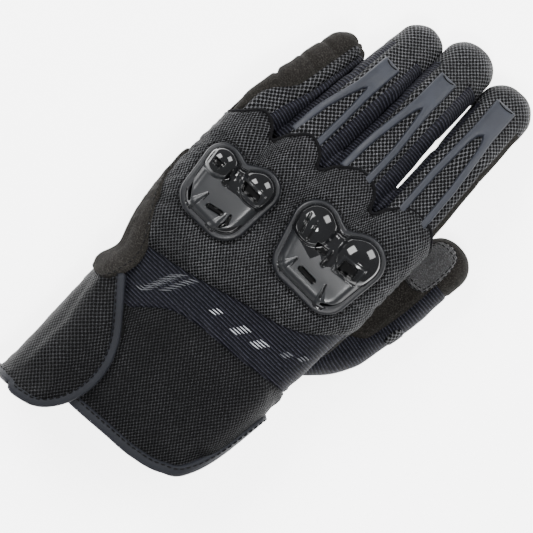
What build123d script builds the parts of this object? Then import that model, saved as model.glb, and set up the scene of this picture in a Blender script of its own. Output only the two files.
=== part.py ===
"""A left-hand short-cuff riding glove, palm down, in millimetres.

+X points to the thumb side, +Y along the middle finger and +Z out of the back of the hand.
The origin is under the middle of the glove's box, on the surface that it lies on.
Every finger is a sewn box: a back panel, a palm panel and two side strips, cut at the joints
so that the narrower tip sleeve turns inside the base sleeve like a nested elbow.
"""

from build123d import *
import math
import os

os.makedirs("parts", exist_ok=True)

# ---- fabric and plastic thicknesses -------------------------------------------------------
WALL = 1.4  # finger fabric
HAND_WALL = 1.6  # hand and cuff fabric
NEST = 0.4  # clearance between nested sleeves
AIR = 0.2  # gap between pieces that lie on each other
PATCH = 1.2  # leather patches
HOOK_LOOP = 0.8  # each half of the hook-and-loop closure

# ---- finger sleeves -----------------------------------------------------------------------
SEAM = 4.0  # half the height of the side strips
STRIP_BACK = 4.9  # how far a sleeve's side strips run back past its pivot
STRIP_AHEAD = 5.0  # how far the outer strips run on past the next pivot
BACK_GAP = 3.0  # where a back panel starts, ahead of its pivot
PALM_GAP = 3.6  # how much further than half its height a palm panel stops short of the knuckle
CORNER = 5.0  # corner radius of a sleeve
TIP_ROUND = 6.0  # rounding of a sleeve's closed end
CAP = 9.0  # length of the back panel's wrap over the fingertip

# name: pivot, base segment (length, lean, dip), tip segment (same), width, height
FINGERS = {
    "index": ((27.5, 46, 34), (36.5, -2.2, 6), (48, -2.2, 27.7), 25.5, 22),
    "middle": ((-1.5, 47, 34), (36.5, 0, 6), (49.4, 0, 26.5), 25, 22),
    "ring": ((-29.5, 43, 33.5), (34, 4.8, 6), (47, 4.8, 28.9), 22, 21),
    "pinky": ((-54.5, 34.5, 33), (26.5, 9, 10), (35, 9, 30), 19.2, 19),
}
# the thumb is rolled outwards, so that it bends level with the palm
THUMB = ((45, -13, 10.3), (33.6, 11.1, 0), (37.1, 3.9, 0), 20, 25)
THUMB_SOCKET = 15.4  # outer radius of the gusset round the thumb's root
THUMB_PATCH = (8.0, 31.0, 7.0)  # start, end and half width along the tip segment

# name: start of the legs, end of the blade, half width, window past the pivot, sideways shift
SLIDERS = {
    "index": (6.0, 30.0, 7.4, 11.0, -0.5),
    "middle": (5.0, 19.0, 7.6, 0.0, -2.0),
    "ring": (5.0, 13.0, 6.8, 0.0, -1.5),
}
LEG_WIDTH = 3.0
SLIDER_THICK = 1.3
SLIDER_GAP = 1.5  # how far the legs stop short of the middle knuckle

# ---- hand: flattened tube through four stations (y, left, right, bottom, top) ------------------
HAND_STATIONS = [
    (-36, -61, 43.5, 1.5, 42.3),
    (-12, -65, 43.5, 1.5, 46),
    (16, -66, 43.5, 22.3, 47),
    (50, -66, 43.5, 22.8, 47),
]
HAND_CORNER = 11.0
SIDE_BAND = 5.0  # half the height of the suede side panels
MID_PLANE = ((-36, 22), (50, 35))  # (y, z) of the hand's mid plane at its two ends

# ---- wrist and cuff -----------------------------------------------------------------------
BAND = ((-34, -58.9, 41.4, 5.8, 38.2), (-54, -52.6, 39.0, 5.8, 38.2))  # two stations
BAND_CORNER = 13.0
CUFF = (-56, 42, 2.0, 42.0)  # left, right, bottom, top
CUFF_ENDS = (-114, -50)
CUFF_CORNER = 18.0
BINDING = 0.6  # how far the edge binding stands out from the cuff
BINDING_WIDTH = 5.0
FLAP_GAP = 2.3  # the flap's inner face, out from the cuff
FLAP_THICK = 2.2
FLAP_ROOT = 14.0  # height of the flap's sewn root
FLAP_ENDS = (-130.5, -58)
FLAP_BINDING = 2.5
HOOK_AREA = (-46, -31, -106, -74)  # left, right, near and far edges of the closure

# ---- knuckle guards: two domes, then two feet at the wrist end (x, y, radius) ------------------
GUARDS = {
    "index_middle": ((-1.5, 17.5, 11), (23, 19, 12), (3.6, 0.2, 10.9), (22, 0.2, 11.1)),
    "ring_pinky": ((-50.3, 8.5, 8.7), (-30.6, 10.8, 9.8), (-46, -7.4, 10.8), (-33.6, -7, 11.6)),
}
GUARD_SEAT = HAND_STATIONS[-1][4] + AIR
FLANGE = 2.6
FLANGE_THICK = 1.4
DOME_RIM = 1.0  # how much smaller than the lobe the dome is, besides the wall
GUARD_STEP = 3.2  # height of the shell's outer step
STEP_IN = 1.8
GUARD_RISE = 4.6
DOME_RISE = 8.2
GUARD_WALL = 1.5


def box(x0, x1, y0, y1, z0, z1):
    """A box between two corners."""
    centre = ((x0 + x1) / 2, (y0 + y1) / 2, (z0 + z1) / 2)
    return Pos(*centre) * Box(x1 - x0, y1 - y0, z1 - z0)


def save(shape, name):
    """Writes one node, keeping only its solids."""
    solids = list(shape.solids())
    whole = solids[0] if len(solids) == 1 else Compound(children=solids)
    whole.label = name
    export_step(whole, f"parts/{name}.step")


def heading(lean, dip):
    """Unit vector that leans to +X from +Y and dips below the level, in degrees."""
    a = math.radians(lean)
    b = math.radians(dip)
    return Vector(math.sin(a) * math.cos(b), math.cos(a) * math.cos(b), -math.sin(b))


def segment_frame(start, lean, dip, roll):
    """Frame of a sleeve: y along it and z out of its back, which faces outwards if rolled."""
    along = heading(lean, dip)
    side = Vector(0, 0, -1) if roll else heading(lean + 90, 0)
    return Plane(origin=start, x_dir=side, z_dir=side.cross(along))


def finger_frames(pivot, base, tip, roll=False):
    """Frames of the base and the tip segment of a finger."""
    first = segment_frame(pivot, base[1], base[2], roll)
    knuckle = Vector(*pivot) + heading(base[1], base[2]) * base[0]
    return first, segment_frame(knuckle, tip[1], tip[2], roll)


def bar(width, height, start, end, radius):
    """A solid rounded bar along +Y."""
    frame = Plane(origin=(0, start, 0), x_dir=(-1, 0, 0), z_dir=(0, 1, 0))
    return extrude(frame * RectangleRounded(width, height, radius), amount=end - start)


def sleeve(width, height, length, closed):
    """Thin walls of a sleeve along +Y, with a closed round end if asked."""
    reach = -STRIP_BACK - 2
    outer = bar(width, height, reach, length, CORNER)
    inner_end = length - WALL if closed else length + 1
    inner = bar(width - 2 * WALL, height - 2 * WALL, reach - 1, inner_end, CORNER - WALL)
    if closed:
        outer = fillet(outer.faces().sort_by(Axis.Y)[-1].edges(), TIP_ROUND)
        inner = fillet(inner.faces().sort_by(Axis.Y)[-1].edges(), TIP_ROUND - WALL)
    return outer - inner


def finger_nodes(name, pivot, base, tip, width, height, roll=False):
    """The six soft panels of one finger, keyed by node name."""
    half = height / 2
    top = half + 1
    side = SEAM - AIR
    length, reach = base[0], tip[0]
    cap = reach - CAP
    cover = box(-width, width, BACK_GAP, reach + 1, SEAM, top)
    cover += box(-width, width, cap, reach + 1, -SEAM, SEAM + 1)
    regions = (
        {
            "back_base": box(-width, width, BACK_GAP, length - 0.5, SEAM, top),
            "palm_base": box(-width, width, 0, length - half - PALM_GAP, -top, -SEAM),
            "sides_base": box(-width, width, -STRIP_BACK, length + STRIP_AHEAD, -side, side),
        },
        {
            "back_tip": cover,
            "palm_tip": box(-width, width, 0, reach + 1, -top, -SEAM - AIR),
            "sides_tip": box(-width, width, -STRIP_BACK, cap - AIR, -side, side),
        },
    )
    walls = (
        sleeve(width, height, length + STRIP_AHEAD + 1, False),
        sleeve(width - 2 * WALL - 2 * NEST, height, reach, True),
    )
    frames = finger_frames(pivot, base, tip, roll)
    found = {}
    for frame, wall, parts in zip(frames, walls, regions):
        for part, region in parts.items():
            found[f"{name}_{part}"] = frame.location * (wall & region)
    return found


def plate(points, low, thick):
    """A flat plate over an outline."""
    return Pos(0, 0, low) * extrude(make_face(Polyline(*points, close=True)), amount=thick)


def slider_nodes(name, pivot, base, tip, width, height):
    """Wishbone insert on a finger's back, parted at the middle knuckle into legs and blade."""
    start, blade, half, window, shift = SLIDERS[name]
    seat = height / 2 + AIR
    end = base[0] - SLIDER_GAP
    inner = half - LEG_WIDTH
    legs = []
    for side in (-1, 1):
        foot = [(side * (inner + 0.5), start), (side * (half + 0.5), start)]
        head = [(side * half * 0.94, end), (side * inner * 0.94, end)]
        legs.append(plate(foot + head, seat, SLIDER_THICK))
    root = BACK_GAP
    outline = [(-half * 0.9, root), (-half * 0.6, blade), (half * 0.6, blade), (half * 0.9, root)]
    if window > root:
        outline += [(inner * 0.9, root), (1.4, window), (-1.4, window), (-inner * 0.9, root)]
    blade_plate = plate(outline, seat, SLIDER_THICK)
    frames = finger_frames(pivot, base, tip)
    return {
        f"{name}_slider_legs": frames[0].location * (Pos(shift, 0, 0) * (legs[0] + legs[1])),
        f"{name}_slider_blade": frames[1].location * (Pos(shift, 0, 0) * blade_plate),
    }


def section(station, inset, corner):
    """A flattened tube's outline at one station, drawn in by inset."""
    y, left, right, bottom, top = station
    centre = ((left + right) / 2, y, (bottom + top) / 2)
    frame = Plane(origin=centre, x_dir=(-1, 0, 0), z_dir=(0, 1, 0))
    size = (right - left - 2 * inset, top - bottom - 2 * inset)
    return frame * RectangleRounded(*size, corner - inset)


def hand_tube(inset, extra):
    """The hand as a solid through its stations, lengthened by extra at both ends."""
    stations = list(HAND_STATIONS)
    stations[0] = (stations[0][0] - extra, *stations[0][1:])
    stations[-1] = (stations[-1][0] + extra, *stations[-1][1:])
    return loft([section(station, inset, HAND_CORNER) for station in stations], ruled=True)


def slab(low, high):
    """The space between two heights over the hand's sloping mid plane."""
    (y0, z0), (y1, z1) = MID_PLANE
    slope = (z1 - z0) / (y1 - y0) * 30
    near, far = z0 - slope, z1 + slope
    corners = [(y0 - 30, near + low), (y1 + 30, far + low), (y1 + 30, far + high), (y0 - 30, near + high)]
    return Pos(-100, 0, 0) * extrude(Plane.YZ * make_face(Polyline(*corners, close=True)), amount=200)


def plan(points):
    """A tall prism over a plan outline."""
    return plate(points, -10, 90)


def back_outline():
    """Plan of the back panel: straight at the wrist, one scallop over each finger's pivot."""
    body = plan([(-70, -36), (50, -36), (50, 34), (14, 37), (-15, 34), (-42, 27), (-70, 22)])
    for pivot, base, tip, width, height in FINGERS.values():
        radius = width * 0.42
        body += Pos(pivot[0], pivot[1] - radius, 35) * Cylinder(radius, 90)
    return body


def knuckle_clearance():
    """Room for the finger sleeves to swing, taken out of the hand's palm side."""
    room = []
    for pivot, base, tip, width, height in FINGERS.values():
        x, y, z = pivot
        side = width / 2 + 6
        room.append(box(x - side, x + side, y - height / 2 - 1, 80, -5, z + 1))
    return room[0].fuse(*room[1:])


def thumb_clearance():
    """Room for the thumb's sleeve, which is also the thumb's way out of the palm."""
    pivot, base, tip, width, height = THUMB
    frame, _ = finger_frames(pivot, base, tip, roll=True)
    return frame.location * bar(width + 2, height + 2, -17, 60, CORNER)


def thumb_gusset():
    """Rib-knit gusset round the outside of the thumb's root, a socket for its sleeve."""
    pivot, base, tip, width, height = THUMB
    socket = Cylinder(THUMB_SOCKET, width) - Cylinder(THUMB_SOCKET - HAND_WALL, width + 2)
    behind = Pos(0, -THUMB_SOCKET / 2 - 2.5, 0) * Box(3 * THUMB_SOCKET, THUMB_SOCKET, width + 2)
    ring = Pos(*pivot) * (Rot(0, 0, -base[1] + 8) * (socket & behind))
    return ring - box(-70, 43.9, -60, 60, -5, 60)


def hand_nodes():
    """Panels of the hand, keyed by node name."""
    walls = hand_tube(0, 0) - hand_tube(HAND_WALL, 1)
    thumb_room = thumb_clearance()
    sides = (walls & slab(-SIDE_BAND + AIR, SIDE_BAND - AIR)) - thumb_room
    palm = (walls & slab(-60, -SIDE_BAND)) - thumb_room - knuckle_clearance()
    return {
        "hand_back_panel": walls & slab(SIDE_BAND, 60) & back_outline(),
        "hand_palm_panel": palm,
        "ulnar_side_panel": sides & box(-80, -30, -40, 22, -5, 60),
        "radial_side_panel": sides & box(10, 80, -40, 33, -5, 60),
        "thumb_gusset": thumb_gusset(),
        "palm_heel_patch": box(-50, 12, -31, -14, 0, PATCH),
    }


def hull(circles, inset):
    """Convex outline round a few circles, drawn in by inset."""
    rings = [Pos(x, y) * Circle(max(r - inset, 0.4)) for x, y, r in circles]
    return make_hull([edge for ring in rings for edge in ring.edges()])


def plate_over(guard, inset, low, high):
    """Heart-shaped plate: two round lobes over the knuckles on a shared foot."""
    one, two, left, right = guard
    plates = [extrude(hull((lobe, left, right), inset), amount=high - low) for lobe in (one, two)]
    return Pos(0, 0, low) * (plates[0] + plates[1])


def guard_body(guard, inset):
    """Solid of the guard's shell: two steps of the heart, with a broad dome over each lobe."""
    floor = -1.0 if inset else 0.0
    body = plate_over(guard, FLANGE + inset, floor, GUARD_STEP - inset)
    body += plate_over(guard, FLANGE + STEP_IN + inset, floor, GUARD_RISE - inset)
    for x, y, r in guard[:2]:
        cap = r - DOME_RIM - inset
        rise = DOME_RISE - inset
        ball = (cap * cap + rise * rise) / (2 * rise)
        dome = Pos(x, y, rise - ball) * Sphere(ball)
        body += dome & box(x - 20, x + 20, y - 20, y + 20, floor, 20)
    return body


def guard_vents(guard):
    """Air vents through a guard: a slot at the wrist end and one beside each dome."""
    one, two, left, right = guard
    lean = math.degrees(math.atan2(two[1] - one[1], two[0] - one[0]))
    foot = ((left[0] + right[0]) / 2, (left[1] + right[1]) / 2 - 1.8)
    vents = [Pos(*foot, 5) * (Rot(0, 0, lean) * Box(one[2] * 0.85, 2, 14))]
    for (x, y, r), side in ((one, -1), (two, 1)):
        flank = Rot(0, 0, lean - side * 24) * Box(1.8, r * 0.62, 14)
        vents.append(Pos(x + side * r * 0.12, y - r * 1.25, 5) * flank)
    return vents


def guard_nodes(name, guard):
    """Flange, hard shell and foam of one knuckle guard."""
    flange = plate_over(guard, 0, 0, FLANGE_THICK)
    window = plate_over(guard, FLANGE + GUARD_WALL, -1, FLANGE_THICK + 1)
    shell = guard_body(guard, 0) - guard_body(guard, GUARD_WALL)
    for vent in guard_vents(guard):
        shell -= vent
    foam = plate_over(guard, FLANGE + GUARD_WALL + 0.5, 0, FLANGE_THICK + 0.8)
    return {
        f"{name}_guard_flange": Pos(0, 0, GUARD_SEAT) * (flange - window),
        f"{name}_guard_shell": Pos(0, 0, GUARD_SEAT + FLANGE_THICK + AIR) * shell,
        f"{name}_guard_foam": Pos(0, 0, GUARD_SEAT) * foam,
    }


def cuff_bar(out, near, far):
    """The cuff's outline, moved out, as a solid bar."""
    left, right, bottom, top = CUFF
    centre = ((left + right) / 2, near, (bottom + top) / 2)
    frame = Plane(origin=centre, x_dir=(-1, 0, 0), z_dir=(0, 1, 0))
    size = (right - left + 2 * out, top - bottom + 2 * out)
    return extrude(frame * RectangleRounded(*size, CUFF_CORNER + out), amount=far - near)


def cuff_nodes():
    """Rib band, cuff panels, edge binding and the loop half of the closure."""
    band = loft([section(station, 0, BAND_CORNER) for station in BAND], ruled=True)
    band -= loft([section(station, HAND_WALL, BAND_CORNER) for station in BAND], ruled=True)
    near, far = CUFF_ENDS
    seam = near + BINDING_WIDTH
    walls = cuff_bar(0, seam, far) - cuff_bar(-HAND_WALL, seam - 1, far + 1)
    rim = cuff_bar(BINDING, near, seam - AIR) - cuff_bar(-HAND_WALL - BINDING, near - 1, seam)
    x0, x1, y0, y1 = HOOK_AREA
    loop = cuff_bar(AIR + HOOK_LOOP, y0 - 2, y1 + 2) - cuff_bar(AIR, y0 - 3, y1 + 3)
    return {
        "wrist_rib_band": band,
        "cuff_back_panel": walls & box(-80, 80, -200, 0, FLAP_ROOT + AIR, 60),
        "cuff_palm_panel": walls & box(-80, 80, -200, 0, -5, FLAP_ROOT),
        "cuff_edge_binding": rim,
        "cuff_loop_patch": loop & box(x0 - 2, x1 + 2, y0 - 3, y1 + 3, 30, 60),
    }


def flap_plan(inset):
    """Plan of the closure flap: narrow at the wrist, wide towards its round free corner."""
    near, far = FLAP_ENDS
    start = -48 - inset
    inner = [(start, far), (-42.5 - inset, -70), (-31 - inset, -83), (-26.5 - inset, -97)]
    inner += [(-27 - inset, -110), (-34, -125 + inset), (-44, near + inset)]
    edges = [Polyline((-75, near + inset), (-75, far), (start, far)), Spline(*inner)]
    edges.append(Line(inner[-1], (-75, near + inset)))
    return Pos(0, 0, -10) * extrude(make_face(edges), amount=90)


def flap_nodes():
    """Closure flap over the cuff's ulnar edge, with its binding and hook patch."""
    near, far = FLAP_ENDS
    outer = cuff_bar(FLAP_GAP + FLAP_THICK, near - 1, far)
    skin = outer - cuff_bar(FLAP_GAP, near - 2, far + 1)
    whole = skin & box(-80, 0, near - 2, far + 1, FLAP_ROOT, 60)
    x0, x1, y0, y1 = HOOK_AREA
    lining = FLAP_GAP - AIR
    hook = cuff_bar(lining, y0, y1) - cuff_bar(lining - HOOK_LOOP, y0 - 1, y1 + 1)
    panel_plan = flap_plan(FLAP_BINDING)
    return {
        "flap_panel": whole & panel_plan,
        "flap_binding": (whole & flap_plan(0)) - flap_plan(FLAP_BINDING - AIR),
        "flap_hook_patch": hook & box(x0, x1, y0 - 2, y1 + 2, 30, 60),
    }


def thumb_patch():
    """Grained leather patch on the side of the thumb's tip."""
    pivot, base, tip, width, height = THUMB
    start, end, half = THUMB_PATCH
    _, frame = finger_frames(pivot, base, tip, roll=True)
    seat = width / 2 - WALL - NEST + AIR
    return frame.location * box(-seat - PATCH, -seat, start, end, -half, half)


def build():
    """Every node of the glove, keyed by name."""
    nodes = hand_nodes() | cuff_nodes() | flap_nodes()
    for name, guard in GUARDS.items():
        nodes |= guard_nodes(name, guard)
    for name, finger in FINGERS.items():
        nodes |= finger_nodes(name, *finger)
        if name in SLIDERS:
            nodes |= slider_nodes(name, *finger)
    nodes |= finger_nodes("thumb", *THUMB, roll=True)
    nodes["thumb_leather_patch"] = thumb_patch()
    return nodes


for node, shape in build().items():
    save(shape, node)
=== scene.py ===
"""A left-hand mesh riding glove: fabric, knit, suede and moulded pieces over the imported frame."""

import bpy
import functools
import math
import numpy as np
from mathutils import Matrix, Vector


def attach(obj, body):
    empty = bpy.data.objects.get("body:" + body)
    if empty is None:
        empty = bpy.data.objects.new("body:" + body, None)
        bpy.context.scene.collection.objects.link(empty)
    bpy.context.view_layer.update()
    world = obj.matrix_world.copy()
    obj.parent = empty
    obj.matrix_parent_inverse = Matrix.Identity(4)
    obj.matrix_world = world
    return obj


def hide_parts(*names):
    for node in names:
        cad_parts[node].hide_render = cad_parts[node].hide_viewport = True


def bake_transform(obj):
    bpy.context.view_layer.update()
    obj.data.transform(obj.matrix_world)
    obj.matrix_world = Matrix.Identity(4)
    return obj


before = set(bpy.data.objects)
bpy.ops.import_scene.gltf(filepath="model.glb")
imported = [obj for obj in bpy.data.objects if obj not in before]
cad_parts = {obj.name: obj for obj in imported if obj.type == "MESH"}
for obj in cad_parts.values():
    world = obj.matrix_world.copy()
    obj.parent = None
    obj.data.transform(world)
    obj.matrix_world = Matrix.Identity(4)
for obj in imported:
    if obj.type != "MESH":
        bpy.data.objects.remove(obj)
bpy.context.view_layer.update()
MM = 0.001
UP = np.array([0.0, 0.0, 1.0])


# ------------------------------------------------------------------ numeric helpers
def ramp(x, a, b):
    """Smooth step from 0 at a to 1 at b."""
    t = np.clip((np.asarray(x, float) - a) / (b - a), 0, 1)
    return t * t * (3 - 2 * t)


def curve(xs, ys):
    """Smooth monotone curve through points."""
    xs, ys = np.array(xs, float), np.array(ys, float)
    h, d = np.diff(xs), np.diff(ys) / np.diff(xs)
    m = np.concatenate([[d[0]], (d[1:] + d[:-1]) / 2, [d[-1]]])
    m[1:-1][d[1:] * d[:-1] <= 0] = 0
    for i, s in enumerate(d):
        if s == 0:
            m[i] = m[i + 1] = 0
            continue
        a, b = m[i] / s, m[i + 1] / s
        r = math.hypot(a, b)
        if r > 3:
            m[i], m[i + 1] = 3 * a / r * s, 3 * b / r * s

    def at(x):
        x = np.clip(np.asarray(x, float), xs[0], xs[-1])
        i = np.clip(np.searchsorted(xs, x, side="right") - 1, 0, len(xs) - 2)
        t = (x - xs[i]) / h[i]
        t2, t3 = t * t, t * t * t
        return (
            (2 * t3 - 3 * t2 + 1) * ys[i] + (t3 - 2 * t2 + t) * h[i] * m[i]
            + (-2 * t3 + 3 * t2) * ys[i + 1] + (t3 - t2) * h[i] * m[i + 1]
        )

    return at


def noise(p, scale, seed=0):
    """Lattice noise in -1 to 1 on points in mm; the same on every run."""
    q = np.asarray(p, float) / scale + seed * 17.31
    i = np.floor(q)
    f = q - i
    f = f * f * (3 - 2 * f)
    total = 0
    for dx in (0, 1):
        for dy in (0, 1):
            for dz in (0, 1):
                c = i + [dx, dy, dz]
                v = np.sin(c @ [12.9898, 78.233, 37.719]) * 43758.5453
                v = (v - np.floor(v)) * 2 - 1
                w = (
                    (f[..., 0] if dx else 1 - f[..., 0])
                    * (f[..., 1] if dy else 1 - f[..., 1])
                    * (f[..., 2] if dz else 1 - f[..., 2])
                )
                total = total + v * w
    return total


def unit(v):
    return v / np.maximum(np.linalg.norm(v, axis=-1, keepdims=True), 1e-9)


def rounded(s, a, h, c):
    """Point of a rounded rectangle at s mm round from the middle of its top; s runs to +x."""
    t = np.abs(s)
    q = math.pi * c / 2
    l1, l2 = a - c, a - c + q
    l3 = l2 + 2 * (h - c)
    l4 = l3 + q
    x = np.where(t < l1, t, a)
    z = np.where(t < l1, h, 0.0)
    k = np.clip((t - l1) / c, 0, math.pi / 2)
    on = (t >= l1) & (t < l2)
    x, z = np.where(on, l1 + c * np.sin(k), x), np.where(on, h - c + c * np.cos(k), z)
    on = (t >= l2) & (t < l3)
    x, z = np.where(on, a, x), np.where(on, h - c - (t - l2), z)
    k = np.clip((t - l3) / c, 0, math.pi / 2)
    on = (t >= l3) & (t < l4)
    x, z = np.where(on, l1 + c * np.cos(k), x), np.where(on, -(h - c) - c * np.sin(k), z)
    on = t >= l4
    x, z = np.where(on, np.maximum(l1 - (t - l4), 0), x), np.where(on, -h, z)
    return np.sign(s) * x, z


def girth(a, h, c):
    """Distance round a rounded rectangle of half width a, half height h and corner c."""
    return 4 * (a - c) + 4 * (h - c) + 2 * math.pi * c


def run_of(path):
    """Distance along a path at each of its points."""
    return np.concatenate([[0], np.cumsum(np.linalg.norm(np.diff(path, axis=0), axis=1))])


def lerp(s, run, values):
    """Vectors interpolated at s, where values[i] is the vector at run[i]."""
    return np.stack([np.interp(s, run, values[:, k]) for k in range(3)], -1)


def round_over(e, radius):
    """Height, 0 to 1, of a quarter-round edge at e mm in from the edge."""
    return np.sqrt(np.clip(1 - (1 - np.clip(e / radius, 0, 1)) ** 2, 0, 1))


def facing(n, toward):
    """Normals turned to the side that toward points to."""
    return n * np.sign(np.sum(n * toward, -1, keepdims=True))


# ------------------------------------------------------------------ mesh helpers
def settle(ob, slot, body, *nodes):
    """Hides the CAD nodes a piece stands for and hangs it on the body it rides; slot is not used."""
    if nodes:
        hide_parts(*nodes)
    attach(ob, body)


def add_mesh(name, verts, faces, mat, uv=None):
    """A smooth-shaded piece from points in mm; uv is one pair per point, in mm."""
    me = bpy.data.meshes.new(name)
    me.from_pydata((np.asarray(verts, float) * MM).tolist(), [], [list(map(int, f)) for f in faces])
    if uv is not None:
        loops = np.zeros(len(me.loops), np.int32)
        me.loops.foreach_get("vertex_index", loops)
        layer = me.uv_layers.new(name="UVMap")
        layer.data.foreach_set("uv", (np.asarray(uv, float)[loops] * MM * 100).astype(np.float32).ravel())
    me.materials.append(mat)
    me.polygons.foreach_set("use_smooth", np.ones(len(me.polygons), bool))
    me.update()
    ob = bpy.data.objects.new(name, me)
    bpy.context.scene.collection.objects.link(ob)
    return ob


def grid_faces(nv, nu, wrap=False, start=0):
    """Quads of an nv by nu grid of points, row after row."""
    i = np.arange(nv - 1)[:, None] * nu
    j = np.arange(nu if wrap else nu - 1)[None, :]
    k = (j + 1) % nu
    f = np.stack([i + j, i + k, i + nu + k, i + nu + j], -1).reshape(-1, 4)
    return f + start


def strip(a, b):
    """Quads between two rows of point numbers."""
    return np.stack([a[:-1], b[:-1], b[1:], a[1:]], -1)


def normals_of(p):
    """Unit normals of a grid of points p[v, u]."""
    du = np.gradient(p, axis=1)
    dv = np.gradient(p, axis=0)
    return unit(np.cross(du, dv))


def arc_lengths(p):
    """Distance in mm along the rows and along the columns of a grid p[v, u]."""
    nv, nu = p.shape[:2]
    su = np.concatenate([np.zeros((nv, 1)), np.cumsum(np.linalg.norm(np.diff(p, axis=1), axis=2), 1)], 1)
    sv = np.concatenate([np.zeros((1, nu)), np.cumsum(np.linalg.norm(np.diff(p, axis=0), axis=2), 0)], 0)
    return su, sv


def thick(name, p, lift, under, mat, uv, edge, n):
    """A closed panel over the grid p[v, u]: lift mm out, under mm in, with rounded edges."""
    nv, nu = p.shape[:2]
    su, sv = arc_lengths(p)
    e = np.minimum(np.minimum(su, su[:, -1:] - su), np.minimum(sv, sv[-1:] - sv))
    f = round_over(e, edge)
    out = p + n * ((lift + under) * f - under)[..., None]
    inn = p - n * under
    verts = np.concatenate([out.reshape(-1, 3), inn.reshape(-1, 3)])
    top = grid_faces(nv, nu)
    low = grid_faces(nv, nu, start=nv * nu)[:, ::-1]
    return add_mesh(name, verts, np.concatenate([top, low]), mat, np.concatenate([uv.reshape(-1, 2)] * 2))


def rope(name, path, nrm, half_w, half_h, mat, ring=12, power=2.3):
    """A strip of oval section laid along a path, half_w sideways and half_h off the surface."""
    path, nrm = np.asarray(path, float), unit(np.asarray(nrm, float))
    d = unit(np.gradient(path, axis=0))
    side = unit(np.cross(d, nrm))
    out = np.cross(side, d)
    n = len(path)
    end = np.ones(n)
    run = run_of(path)
    for k in range(n):
        gap = min(run[k], run[-1] - run[k])
        end[k] = math.sqrt(max(0.02, 1 - (1 - min(gap / half_w, 1)) ** 2))
    a = np.linspace(0, 2 * math.pi, ring, endpoint=False)
    ca = np.sign(np.cos(a)) * np.abs(np.cos(a)) ** (2 / power)
    sa = np.sign(np.sin(a)) * np.abs(np.sin(a)) ** (2 / power)
    pts = (
        path[:, None]
        + side[:, None] * (ca[None, :, None] * (half_w * end)[:, None, None])
        + out[:, None] * (sa[None, :, None] * (half_h * end)[:, None, None])
    )
    faces = grid_faces(n, ring, wrap=True)[:, ::-1].tolist()
    faces.append(list(range(ring)))
    faces.append(list(range((n - 1) * ring, n * ring))[::-1])
    uv = np.stack(np.broadcast_arrays(a[None] * half_w, run[:, None]), -1).reshape(-1, 2)
    return add_mesh(name, pts.reshape(-1, 3), faces, mat, uv)


def resample(path, step):
    """Evenly spaced points on a path."""
    path = np.asarray(path, float)
    run = run_of(path)
    return lerp(np.linspace(0, run[-1], max(2, int(round(run[-1] / step)) + 1)), run, path)


def spline(points, n=200):
    """Catmull-Rom curve through plan points."""
    p = np.asarray(points, float)
    p = np.vstack([2 * p[0] - p[1], p, 2 * p[-1] - p[-2]])
    out = []
    m = max(4, n // (len(p) - 3))
    for i in range(1, len(p) - 2):
        t = np.linspace(0, 1, m, endpoint=False)[:, None]
        a, b, c, d = p[i - 1], p[i], p[i + 1], p[i + 2]
        out.append(0.5 * (2 * b + (c - a) * t + (2 * a - 5 * b + 4 * c - d) * t**2 + (3 * b - a - 3 * c + d) * t**3))
    return np.vstack([*out, p[-2:-1]])


def stitches(name, path, nrm, mat, length, gap, radius):
    """A row of thread stitches along a path that lies on the surface."""
    path, nrm = np.asarray(path, float), unit(np.asarray(nrm, float))
    run = run_of(path)
    verts, faces = [], []
    shape = [(-0.5, 0.35), (-0.36, 0.9), (0.0, 1.0), (0.36, 0.9), (0.5, 0.35)]
    a = np.linspace(0, 2 * math.pi, 6, endpoint=False)
    count = int(run[-1] / (length + gap))
    for k in range(count):
        rows = []
        for u, r in shape:
            s = (k + 0.5) * (length + gap) + u * length
            c, w = lerp(s, run, path), unit(lerp(s, run, nrm))
            side = unit(np.cross(lerp(s + 0.2, run, path) - lerp(s - 0.2, run, path), w))
            rise = radius * (0.1 + 0.55 * (r - 0.35))
            rows.append(c + w * rise + (side[None] * np.cos(a)[:, None] + w[None] * np.sin(a)[:, None]) * radius * r)
        base = len(verts) * 6
        verts += rows
        faces += (grid_faces(5, 6, wrap=True, start=base)).tolist()
        faces.append([base + i for i in range(6)][::-1])
        faces.append([base + 24 + i for i in range(6)])
    return add_mesh(name, np.concatenate(verts), faces, mat)


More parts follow.
